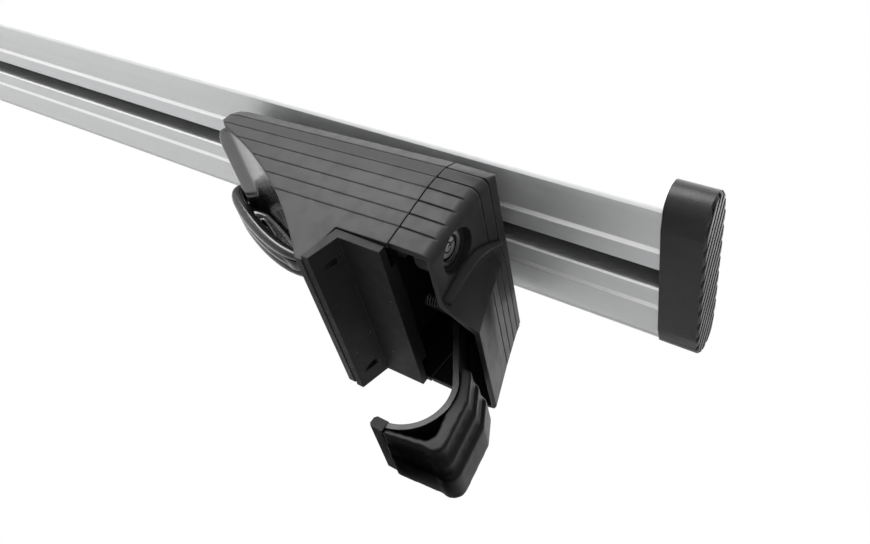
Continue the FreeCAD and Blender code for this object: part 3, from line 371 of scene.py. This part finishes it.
def falling(tree, source, change):
    """1 before a change and 0 after it."""
    return ramp_node(tree, source, 1.0, 0.0, *change)


def times(tree, first, second):
    """The product of two sockets or numbers."""
    return math_node(tree, "MULTIPLY", first, second)


def band(tree, source, changes):
    """1 between two changes and 0 outside them."""
    return times(tree, rising(tree, source, changes[0]), falling(tree, source, changes[1]))


def without_sign(tree, source):
    """The same number without its sign, so that one mask serves both sides."""
    return math_node(tree, "ABSOLUTE", source)


def lighter(colour, factor, lift=0.0):
    """A paler colour, kept within white."""
    return [min(1, part * factor + lift) for part in colour]


def tinted(tree, source, colour, spread):
    """The colour, made a little darker and lighter over the surface by a mask."""
    node = tree.nodes.new("ShaderNodeMix")
    node.data_type = "RGBA"
    node.inputs["A"].default_value = lighter(colour, 1 - spread) + [1]
    node.inputs["B"].default_value = lighter(colour, 1 + spread) + [1]
    tree.links.new(source, node.inputs["Factor"])
    return node.outputs["Result"]


def bump(tree, shader, height, depth, normal):
    """Gives a shader a relief on top of a normal."""
    node = tree.nodes.new("ShaderNodeBump")
    node.inputs["Strength"].default_value = 1.0
    node.inputs["Distance"].default_value = depth
    tree.links.new(height, node.inputs["Height"])
    tree.links.new(normal, node.inputs["Normal"])
    tree.links.new(node.outputs["Normal"], shader.inputs["Normal"])


def soft_edges(tree, radius):
    """The rounded normal, and the mask of the edges."""
    node = tree.nodes.new("ShaderNodeGroup")
    node.node_tree = bpy.data.node_groups["Soft edges"]
    node.inputs["Radius"].default_value = radius
    return node.outputs["Normal"], node.outputs["Edge"]


def over(tree, below, colour, mask):
    """A colour laid where a mask says over another, which is a socket or plain numbers."""
    node = tree.nodes.new("ShaderNodeMix")
    node.data_type = "RGBA"
    node.inputs["B"].default_value = list(colour) + [1]
    if isinstance(below, list):
        node.inputs["A"].default_value = below + [1]
    else:
        tree.links.new(below, node.inputs["A"])
    tree.links.new(mask, node.inputs["Factor"])
    return node.outputs["Result"]


def moulded_material(name, colour, roughness, size, depth, coat=0.0, specular=0.3,
                     edge=0.00035, rub_and_highlight=0.3, dust=0.0):
    """Moulded plastic or rubber: grain, changes of gloss, handling marks, and paler edges that
    are partly rubbing and partly a painted highlight.
    """
    material, tree, shader, place = shaded_material(name)
    grain = placed_group(tree, "Moulded grain", place, size)
    marks = placed_group(tree, "Handling marks", place)
    normal, rim = soft_edges(tree, edge)
    base = tinted(tree, times(tree, grain.outputs["Patches"], grain.outputs["Height"]),
                  colour, spread=0.3)
    # Paler edges where the handling marks lie: partly rubbing, partly a painted highlight
    rubbed = times(tree, times(tree, rim, marks.outputs["Mask"]), rub_and_highlight)
    base = over(tree, base, lighter(colour, 3, lift=0.06), rubbed)
    if dust:
        specks = placed_group(tree, "Dust", place)
        base = over(tree, base, DUST_COLOUR, times(tree, specks.outputs["Mask"], dust))
    tree.links.new(base, shader.inputs["Base Color"])
    mixed = math_node(tree, "ADD", grain.outputs["Patches"], marks.outputs["Mask"])
    tree.links.new(ramp_node(tree, mixed, roughness + 0.06, roughness - 0.06,
                             start=0.6, end=1.4), shader.inputs["Roughness"])
    shader.inputs["Specular IOR Level"].default_value = specular
    shader.inputs["Coat Weight"].default_value = coat
    shader.inputs["Coat Roughness"].default_value = 0.12
    bump(tree, shader, grain.outputs["Height"], depth, normal)
    return material


def metal_material(name, colour, roughness, size, depth):
    """Plated metal: a fine grain, with soft handling marks and edges painted brighter, partly as
    rubbing and partly as a painted highlight.
    """
    material, tree, shader, place = shaded_material(name)
    grain = placed_group(tree, "Moulded grain", place, size)
    slow = grain.outputs["Patches"]
    marks = placed_group(tree, "Handling marks", place)
    normal, rim = soft_edges(tree, radius=0.0003)
    base = tinted(tree, slow, colour, spread=0.05)
    # Edges painted brighter: partly rubbing, partly a painted highlight
    base = over(tree, base, lighter(colour, 1.25), times(tree, rim, 0.6))
    tree.links.new(base, shader.inputs["Base Color"])
    shader.inputs["Metallic"].default_value = 1.0
    mixed = math_node(tree, "ADD", slow, marks.outputs["Mask"])
    tree.links.new(ramp_node(tree, mixed, roughness - 0.05, roughness + 0.07,
                             start=0.6, end=1.4), shader.inputs["Roughness"])
    bump(tree, shader, grain.outputs["Height"], depth, normal)
    return material


def bar_material(name, colour, roughness, line):
    """Anodised aluminium with drawn lines: painted highlights on the noses, grooves, slot lips
    and edges, and painted shade inside the lower slot.
    """
    material, tree, shader, place = shaded_material(name)
    drawn = placed_group(tree, "Drawn lines", place, line)
    marks = placed_group(tree, "Handling marks", place)
    normal, rim = soft_edges(tree, radius=0.0004)
    parts = tree.nodes.new("ShaderNodeSeparateXYZ")
    tree.links.new(place, parts.inputs["Vector"])
    across = without_sign(tree, parts.outputs["Y"])
    height = parts.outputs["Z"]
    nose = rising(tree, across, NOSE_EDGE)
    groove = times(tree, band(tree, across, GROOVE_ACROSS), falling(tree, height, GROOVE_ROOF))
    lip = times(tree, band(tree, across, LIP_ACROSS), falling(tree, height, LIP_ROOF))
    inside = times(tree, falling(tree, across, SLOT_ACROSS), band(tree, height, SLOT_UP))
    slot_shade = times(tree, ramp_node(tree, height, 0.0, 0.9, *SLOT_SHADE_UP),
                 ramp_node(tree, across, 1.0, 0.25, *SLOT_SHADE_ACROSS))
    base = tinted(tree, drawn.outputs["Streaks"], colour, spread=0.06)
    # Painted highlight: the noses are painted paler, and the grooves and the slot's lips near
    # white
    base = over(tree, base, lighter(colour, 1.3), nose)
    base = over(tree, base, PAINTED_HIGHLIGHT, math_node(tree, "MAXIMUM", groove, lip))
    # The edges painted paler: partly rubbing, partly a painted highlight
    base = over(tree, base, RUBBED_EDGE_AND_HIGHLIGHT, times(tree, rim, 0.35))
    # Painted shade inside the slot
    base = over(tree, base, SLOT_PAINTED_SHADE, times(tree, inside, slot_shade))
    tree.links.new(base, shader.inputs["Base Color"])
    metallic = ramp_node(tree, math_node(tree, "MAXIMUM", nose, inside), 0.8, 0.35,
                         start=0.0, end=1.0)
    tree.links.new(metallic, shader.inputs["Metallic"])
    mixed = math_node(tree, "ADD", drawn.outputs["Streaks"], marks.outputs["Mask"])
    tree.links.new(ramp_node(tree, mixed, roughness - 0.04, roughness + 0.06,
                             start=0.6, end=1.4), shader.inputs["Roughness"])
    # The normal leans outwards beyond the edge, so that the nose starts at a crisp line
    outwards = tree.nodes.new("ShaderNodeCombineXYZ")
    side = math_node(tree, "SIGN", parts.outputs["Y"])
    tree.links.new(times(tree, side, nose), outwards.inputs["Y"])
    creased = vector_node(tree, "ADD", normal, outwards.outputs["Vector"])
    creased = vector_node(tree, "NORMALIZE", creased)
    bump(tree, shader, drawn.outputs["Height"], depth=0.00002, normal=creased)
    return material


def lock_material(name, colour, roughness, gaps):
    """Plated lock metal with painted shade in the gaps round the lock's axis, given as pairs of
    radii, and edges painted paler, partly as rubbing and partly as a painted highlight.
    """
    material, tree, shader, place = shaded_material(name)
    grain = placed_group(tree, "Moulded grain", place, size=0.0012)
    marks = placed_group(tree, "Handling marks", place)
    normal, rim = soft_edges(tree, radius=0.0002)
    parts = tree.nodes.new("ShaderNodeSeparateXYZ")
    tree.links.new(place, parts.inputs["Vector"])
    across = math_node(tree, "SUBTRACT", without_sign(tree, parts.outputs["Y"]), LOCK_ACROSS)
    up = math_node(tree, "SUBTRACT", parts.outputs["Z"], LOCK_HEIGHT)
    radius = math_node(tree, "SQRT", math_node(
        tree, "ADD", times(tree, across, across), times(tree, up, up)))
    base = tinted(tree, grain.outputs["Patches"], colour, spread=0.08)
    # Painted shade in the gaps round the lock's axis
    for inner, outer in gaps:
        gap = band(tree, radius, ((inner, inner + GAP_EDGE), (outer, outer + GAP_EDGE)))
        base = over(tree, base, GAP_PAINTED_SHADE, gap)
    # Edges painted paler: partly rubbing, partly a painted highlight
    base = over(tree, base, lighter(colour, 1.5), times(tree, rim, 0.5))
    tree.links.new(base, shader.inputs["Base Color"])
    shader.inputs["Metallic"].default_value = 1.0
    tree.links.new(ramp_node(tree, marks.outputs["Mask"], roughness, roughness + 0.12,
                             start=0.2, end=1.0), shader.inputs["Roughness"])
    bump(tree, shader, grain.outputs["Height"], depth=0.00001, normal=normal)
    return material


def painted_material(name, colour, roughness, bare):
    """Black powder coat: a fine orange peel, and metal showing where the edges are rubbed."""
    material, tree, shader, place = shaded_material(name)
    grain = placed_group(tree, "Moulded grain", place, size=0.0006)
    marks = placed_group(tree, "Handling marks", place)
    normal, rim = soft_edges(tree, radius=0.0004)
    rubbed = rising(tree, times(tree, rim, marks.outputs["Mask"]), (0.55, 0.8))
    base = tinted(tree, grain.outputs["Patches"], colour, spread=0.2)
    base = over(tree, base, bare, rubbed)
    tree.links.new(base, shader.inputs["Base Color"])
    tree.links.new(rubbed, shader.inputs["Metallic"])
    tree.links.new(ramp_node(tree, marks.outputs["Mask"], roughness + 0.08, roughness - 0.05,
                             start=0.2, end=0.9), shader.inputs["Roughness"])
    shader.inputs["Specular IOR Level"].default_value = 0.35
    bump(tree, shader, grain.outputs["Height"], depth=0.00003, normal=normal)
    return material


def threaded_material(name, colour, roughness, pitch, axis):
    """Plated steel with a thread's turns along one axis, shaded as a bump."""
    material, tree, shader, place = shaded_material(name)
    wave = tree.nodes.new("ShaderNodeTexWave")
    wave.bands_direction = axis
    wave.wave_profile = "TRI"
    wave.inputs["Scale"].default_value = WAVE_SCALE / pitch
    tree.links.new(place, wave.inputs["Vector"])
    marks = placed_group(tree, "Handling marks", place)
    normal = soft_edges(tree, radius=0.0002)[0]
    tree.links.new(tinted(tree, marks.outputs["Mask"], colour, spread=0.06),
                   shader.inputs["Base Color"])
    shader.inputs["Metallic"].default_value = 1.0
    tree.links.new(ramp_node(tree, marks.outputs["Mask"], roughness, roughness + 0.1,
                             start=0.2, end=1.0), shader.inputs["Roughness"])
    bump(tree, shader, wave.outputs["Color"], depth=pitch * 0.4, normal=normal)
    return material


# The CAD nodes' surfaces

def joined_surface(item):
    """Joins a CAD node's faces into one smooth skin, without its stored normals."""
    item.data.polygons.foreach_set("use_smooth", [True] * len(item.data.polygons))
    if item.data.has_custom_normals:
        item.data.attributes.remove(item.data.attributes["custom_normal"])
    weld = item.modifiers.new("weld", "WELD")
    weld.merge_threshold = WELD_DISTANCE


def smooth_surface(item, degrees, flats):
    """Shades a CAD node smoothly between its edges; its mesh keeps its shape."""
    joined_surface(item)
    split = item.modifiers.new("edges", "EDGE_SPLIT")
    split.split_angle = math.radians(degrees)
    if flats:
        item.modifiers.new("flats", "WEIGHTED_NORMAL")


def soften_surface(item, turns):
    """Rounds a moulded piece's edges: a fine even mesh, smoothed a few turns."""
    joined_surface(item)
    even = item.modifiers.new("edges", "REMESH")
    even.mode = "VOXEL"
    even.voxel_size = FINE_MESH
    even.use_smooth_shade = True
    rounding = item.modifiers.new("rounding", "SMOOTH")
    rounding.factor = 0.5
    rounding.iterations = turns


def dress(names, material, degrees=34, flats=True, turns=0):
    """Gives CAD nodes a material; the number of turns says how far their edges are rounded."""
    for name in names:
        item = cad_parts[name]
        if item.data.materials:
            item.data.materials[0] = material
        else:
            item.data.materials.append(material)
        if turns:
            soften_surface(item, turns)
        else:
            smooth_surface(item, degrees, flats)


def both(*names):
    """The nodes of these names in the right foot and in the left one."""
    return [name + "_" + side for name in names for side, _ in SIDES]


# Small pieces

def smooth_rod(points, radii):
    """A rod that runs smoothly along some points, with a radius at each, as a bmesh."""
    curve = bpy.data.curves.new("rod", "CURVE")
    curve.dimensions = "3D"
    curve.bevel_depth = 1.0
    curve.bevel_resolution = 5
    curve.resolution_u = 10
    curve.use_fill_caps = True
    line = curve.splines.new("NURBS")
    line.points.add(len(points) - 1)
    for point, place, radius in zip(line.points, points, radii):
        point.co = (*place, 1)
        point.radius = radius
    line.order_u = 3
    line.use_endpoint_u = True
    drawn = bpy.data.objects.new("rod", curve)
    bpy.context.scene.collection.objects.link(drawn)
    solid = bpy.data.meshes.new_from_object(
        drawn.evaluated_get(bpy.context.evaluated_depsgraph_get()))
    bpy.data.objects.remove(drawn)
    bpy.data.curves.remove(curve)
    shape = bmesh.new()
    shape.from_mesh(solid)
    bpy.data.meshes.remove(solid)
    bmesh.ops.remove_doubles(shape, verts=shape.verts, dist=ROD_WELD_DISTANCE)
    bmesh.ops.recalc_face_normals(shape, faces=shape.faces)
    return shape


def finished_piece(name, shape, material, body):
    """A named object made of a bmesh, which rides on a body and shows one material slot."""
    mesh = bpy.data.meshes.new(name)
    shape.to_mesh(mesh)
    shape.free()
    mesh.polygons.foreach_set("use_smooth", [True] * len(mesh.polygons))
    mesh.materials.append(material)
    piece = bpy.data.objects.new(name, mesh)
    bpy.context.scene.collection.objects.link(piece)
    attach(piece, body)


def at_foot(turn, place):
    """A place measured from a foot's middle, at the right foot or turned to the left one."""
    out, across, up = place
    return turn * (FOOT_MIDDLE + out), turn * across, up


class CROSSBAR_OT_rim_scoops(bpy.types.Operator):
    """Adds the soft rim beside each end cover's scoop"""
    bl_idname = "crossbar.rim_scoops"
    bl_label = "Rim the scoops"

    def execute(self, context):
        thick = context.scene.crossbar_fittings.rim_thickness
        radii = [thick * share for share in SCOOP_RADII]
        for side, turn in SIDES:
            shape = smooth_rod([at_foot(turn, place) for place in SCOOP_LINE], radii)
            finished_piece("scoop_rim_" + side, shape, bpy.data.materials["foot plastic"],
                           "cover_" + side)
        return {"FINISHED"}


class CROSSBAR_OT_round_grips(bpy.types.Operator):
    """Adds the rounded ribs along each inner cover's grip"""
    bl_idname = "crossbar.round_grips"
    bl_label = "Round the grips"

    def execute(self, context):
        fittings = context.scene.crossbar_fittings
        radii = [fittings.grip_thickness / 2 * share for share in GRIP_RADII]
        for side, turn in SIDES:
            whole = bmesh.new()
            for step in GRIP_STEPS:
                across = GRIP_PLACE + step * fittings.grip_spacing
                rib = smooth_rod([at_foot(turn, (out, across, up)) for out, up in GRIP_LINE],
                                 radii)
                part = bpy.data.meshes.new("grip_rib")
                rib.to_mesh(part)
                rib.free()
                whole.from_mesh(part)
                bpy.data.meshes.remove(part)
            finished_piece("grip_ribs_" + side, whole, bpy.data.materials["panel plastic"],
                           "foot_" + side)
        return {"FINISHED"}


class CROSSBAR_OT_finish_bar(bpy.types.Operator):
    """Gives the bar its drawn anodised finish, its strip rubber and its caps plastic"""
    bl_idname = "crossbar.finish_bar"
    bl_label = "Finish the bar"

    def execute(self, context):
        finish = context.scene.crossbar_finishes
        dress(["bar_profile"], bar_material(
            "anodised aluminium", finish.aluminium_colour, finish.aluminium_roughness,
            finish.draw_line))
        dress(["top_strip"], moulded_material(
            "strip rubber", finish.rubber_colour, roughness=0.7, size=0.0009, depth=0.00003,
            specular=0.2))
        dress(both("end_cap"), moulded_material(
            "cap plastic", finish.cap_colour, roughness=0.42, size=0.0009, depth=0.00003,
            edge=0.0006, specular=0.4))
        return {"FINISHED"}


class CROSSBAR_OT_finish_feet(bpy.types.Operator):
    """Gives the feet their grained plastic, glossy inner covers, rubber and cast metal"""
    bl_idname = "crossbar.finish_feet"
    bl_label = "Finish the feet"

    def execute(self, context):
        finish = context.scene.crossbar_finishes
        shell = moulded_material(
            "foot plastic", finish.shell_colour, roughness=0.5, size=finish.grain_size,
            depth=0.00001, edge=0.0007, specular=0.2, rub_and_highlight=0.6)
        dress(both("foot_shell"), shell)
        dress(both("end_cover"), shell, degrees=52, flats=False)
        dress(both("inner_cover"), moulded_material(
            "panel plastic", finish.panel_colour, roughness=0.22, size=0.004, depth=0.00003,
            coat=0.5), turns=16)
        dress(both("rail_pad", "saddle_pad"), moulded_material(
            "pad rubber", finish.rubber_colour, roughness=0.6, size=0.0009, depth=0.00002,
            specular=0.2, edge=0.0005, rub_and_highlight=1.0, dust=0.7))
        dress(both("foot_frame"), painted_material(
            "frame paint", finish.frame_colour, roughness=0.5, bare=finish.steel_colour))
        return {"FINISHED"}


class CROSSBAR_OT_finish_clamps(bpy.types.Operator):
    """Gives the clamps their steel straps, screws and nuts and their plastic jaws"""
    bl_idname = "crossbar.finish_clamps"
    bl_label = "Finish the clamps"

    def execute(self, context):
        finish = context.scene.crossbar_finishes
        pitch = context.scene.crossbar_fittings.thread_pitch
        steel = finish.steel_colour
        dress(both("jaw_strap"), painted_material(
            "strap paint", finish.frame_colour, roughness=0.4, bare=steel))
        dress(both("jaw_cover"), moulded_material(
            "jaw plastic", finish.jaw_colour, roughness=0.42, size=0.0014, depth=0.00002,
            specular=0.14), turns=8)
        dress(both("jaw_tip"), moulded_material(
            "tip rubber", finish.rubber_colour, roughness=0.6, size=0.0009, depth=0.00004,
            specular=0.2))
        dress(both("bolt_washers", "bolt_nuts", "clamp_nut", "screw_washer", "lock_cam"),
              metal_material("plated steel", steel, roughness=0.32, size=0.0016,
                             depth=0.00002))
        dress(both("clamp_screw"), threaded_material(
            "clamp screw steel", [part * SHADED_STEEL for part in steel], roughness=0.4,
            pitch=pitch, axis="X"))
        dress(both("tee_bolts"), threaded_material(
            "bolt steel", steel, roughness=0.3, pitch=pitch, axis="Z"))
        return {"FINISHED"}


class CROSSBAR_OT_finish_locks(bpy.types.Operator):
    """Gives the locks their satin plated metal"""
    bl_idname = "crossbar.finish_locks"
    bl_label = "Finish the locks"

    def execute(self, context):
        finish = context.scene.crossbar_finishes
        dress(both("lock_housing"), lock_material(
            "lock plating", finish.lock_colour, roughness=0.24, gaps=HOUSING_GAPS))
        dress(both("lock_barrel"), lock_material(
            "lock core metal", finish.lock_colour, roughness=0.3, gaps=CORE_GAPS))
        return {"FINISHED"}


# Stage

def floor_material(colour, near, far):
    """A pale floor that shows from above only, fades far away and bounces little light."""
    material = bpy.data.materials.new("pale floor")
    material.use_nodes = True
    tree = material.node_tree
    shader = tree.nodes["Principled BSDF"]
    path = tree.nodes.new("ShaderNodeLightPath")
    seen = over(tree, [part * FLOOR_BOUNCE for part in colour], colour,
                path.outputs["Is Camera Ray"])
    mirrored = over(tree, seen, FLOOR_MIRRORED, path.outputs["Is Glossy Ray"])
    tree.links.new(mirrored, shader.inputs["Base Color"])
    shader.inputs["Roughness"].default_value = 0.9
    clear = tree.nodes.new("ShaderNodeBsdfTransparent")
    under = tree.nodes.new("ShaderNodeNewGeometry")
    place = tree.nodes.new("ShaderNodeTexCoord")
    away = vector_node(tree, "LENGTH", place.outputs["Object"], result="Value")
    faded = rising(tree, away, (near, far))
    mix = tree.nodes.new("ShaderNodeMixShader")
    tree.links.new(math_node(tree, "MAXIMUM", under.outputs["Backfacing"], faded),
                   mix.inputs["Fac"])
    tree.links.new(shader.outputs["BSDF"], mix.inputs[1])
    tree.links.new(clear.outputs["BSDF"], mix.inputs[2])
    tree.links.new(mix.outputs["Shader"], tree.nodes["Material Output"].inputs["Surface"])
    return material


def white_world(strength):
    """White where the camera, metal or glass looks, and a plain weak sky for the light."""
    world = bpy.data.worlds.new("studio")
    world.use_nodes = True
    tree = world.node_tree
    lighting = tree.nodes["Background"]
    seen = tree.nodes.new("ShaderNodeBackground")
    for background, amount in ((lighting, strength), (seen, 1.0)):
        background.inputs["Color"].default_value = (1, 1, 1, 1)
        background.inputs["Strength"].default_value = amount
    path = tree.nodes.new("ShaderNodeLightPath")
    direct = math_node(tree, "MAXIMUM", path.outputs["Is Camera Ray"],
                       path.outputs["Is Glossy Ray"])
    direct = math_node(tree, "MAXIMUM", direct, path.outputs["Is Transmission Ray"])
    mix = tree.nodes.new("ShaderNodeMixShader")
    tree.links.new(direct, mix.inputs["Fac"])
    tree.links.new(lighting.outputs["Background"], mix.inputs[1])
    tree.links.new(seen.outputs["Background"], mix.inputs[2])
    tree.links.new(mix.outputs["Shader"], tree.nodes["World Output"].inputs["Surface"])
    bpy.context.scene.world = world


def area_lamp(name, place, target, width, power):
    """A square lamp at a place, facing a target."""
    light = bpy.data.lights.new(name, "AREA")
    light.shape = "SQUARE"
    light.size = width
    light.energy = power
    lamp = bpy.data.objects.new(name, light)
    bpy.context.scene.collection.objects.link(lamp)
    lamp.location = place
    lamp.rotation_mode = "QUATERNION"
    lamp.rotation_quaternion = (Vector(target) - Vector(place)).to_track_quat("-Z", "Y")


def photograph_camera(lens):
    """The camera, at the place from which the photograph was taken."""
    data = bpy.data.cameras.new("camera")
    data.lens = lens
    data.sensor_width = SENSOR_WIDTH
    data.clip_start = NEAREST_SEEN
    camera = bpy.data.objects.new("camera", data)
    bpy.context.scene.collection.objects.link(camera)
    right = Vector(CAMERA_RIGHT).normalized()
    back = -Vector(CAMERA_AHEAD).normalized()
    up = back.cross(right).normalized()
    turn = Matrix((right, up, back)).transposed().to_4x4()
    camera.matrix_world = Matrix.Translation(CAMERA_PLACE) @ turn
    bpy.context.scene.camera = camera


class CROSSBAR_OT_set_stage(bpy.types.Operator):
    """Sets the floor, the lamps, the white surroundings and the photograph's camera"""
    bl_idname = "crossbar.set_stage"
    bl_label = "Set the stage"

    def execute(self, context):
        stage = context.scene.crossbar_stage
        low = cad_box[0].z - FLOOR_GAP
        shape = bmesh.new()
        bmesh.ops.create_grid(shape, x_segments=1, y_segments=1, size=stage.floor_width / 2,
                              matrix=Matrix.Translation((0, 0, low)))
        mesh = bpy.data.meshes.new("floor")
        shape.to_mesh(mesh)
        shape.free()
        floor = bpy.data.objects.new("floor", mesh)
        context.scene.collection.objects.link(floor)
        mesh.materials.append(floor_material(
            stage.floor_colour, *(stage.floor_width * share for share in FLOOR_FADE)))
        white_world(stage.sky_strength)
        area_lamp("key lamp", KEY_PLACE, KEY_TARGET, KEY_WIDTH, stage.key_power)
        area_lamp("top lamp", TOP_PLACE, TOP_TARGET, TOP_WIDTH, stage.top_power)
        photograph_camera(stage.lens)
        context.scene.view_settings.view_transform = "Standard"
        return {"FINISHED"}


class CROSSBAR_PT_panel(bpy.types.Panel):
    """Lists the steps that dress the crossbar"""
    bl_idname = "CROSSBAR_PT_panel"
    bl_label = "Crossbar"
    bl_space_type = "VIEW_3D"
    bl_region_type = "UI"
    bl_category = "Crossbar"

    def draw(self, context):
        layout = self.layout
        for step in STEPS:
            layout.operator(step.bl_idname)
        for group in (context.scene.crossbar_finishes, context.scene.crossbar_fittings,
                      context.scene.crossbar_stage):
            for name in group.bl_rna.properties.keys():
                if name not in {"rna_type", "name"}:
                    layout.prop(group, name)


STEPS = (
    CROSSBAR_OT_finish_bar,
    CROSSBAR_OT_finish_feet,
    CROSSBAR_OT_finish_clamps,
    CROSSBAR_OT_finish_locks,
    CROSSBAR_OT_rim_scoops,
    CROSSBAR_OT_round_grips,
    CROSSBAR_OT_set_stage,
)
CLASSES = (CrossbarFinishes, CrossbarFittings, CrossbarStage) + STEPS + (CROSSBAR_PT_panel,)


def register():
    for item in CLASSES:
        bpy.utils.register_class(item)
    bpy.types.Scene.crossbar_finishes = PointerProperty(type=CrossbarFinishes)
    bpy.types.Scene.crossbar_fittings = PointerProperty(type=CrossbarFittings)
    bpy.types.Scene.crossbar_stage = PointerProperty(type=CrossbarStage)


def unregister():
    del bpy.types.Scene.crossbar_stage
    del bpy.types.Scene.crossbar_fittings
    del bpy.types.Scene.crossbar_finishes
    for item in reversed(CLASSES):
        bpy.utils.unregister_class(item)


def main():
    register()
    bpy.ops.crossbar.finish_bar()
    bpy.ops.crossbar.finish_feet()
    bpy.ops.crossbar.finish_clamps()
    bpy.ops.crossbar.finish_locks()
    bpy.ops.crossbar.rim_scoops()
    bpy.ops.crossbar.round_grips()
    bpy.ops.crossbar.set_stage()


if __name__ == "__main__":
    main()
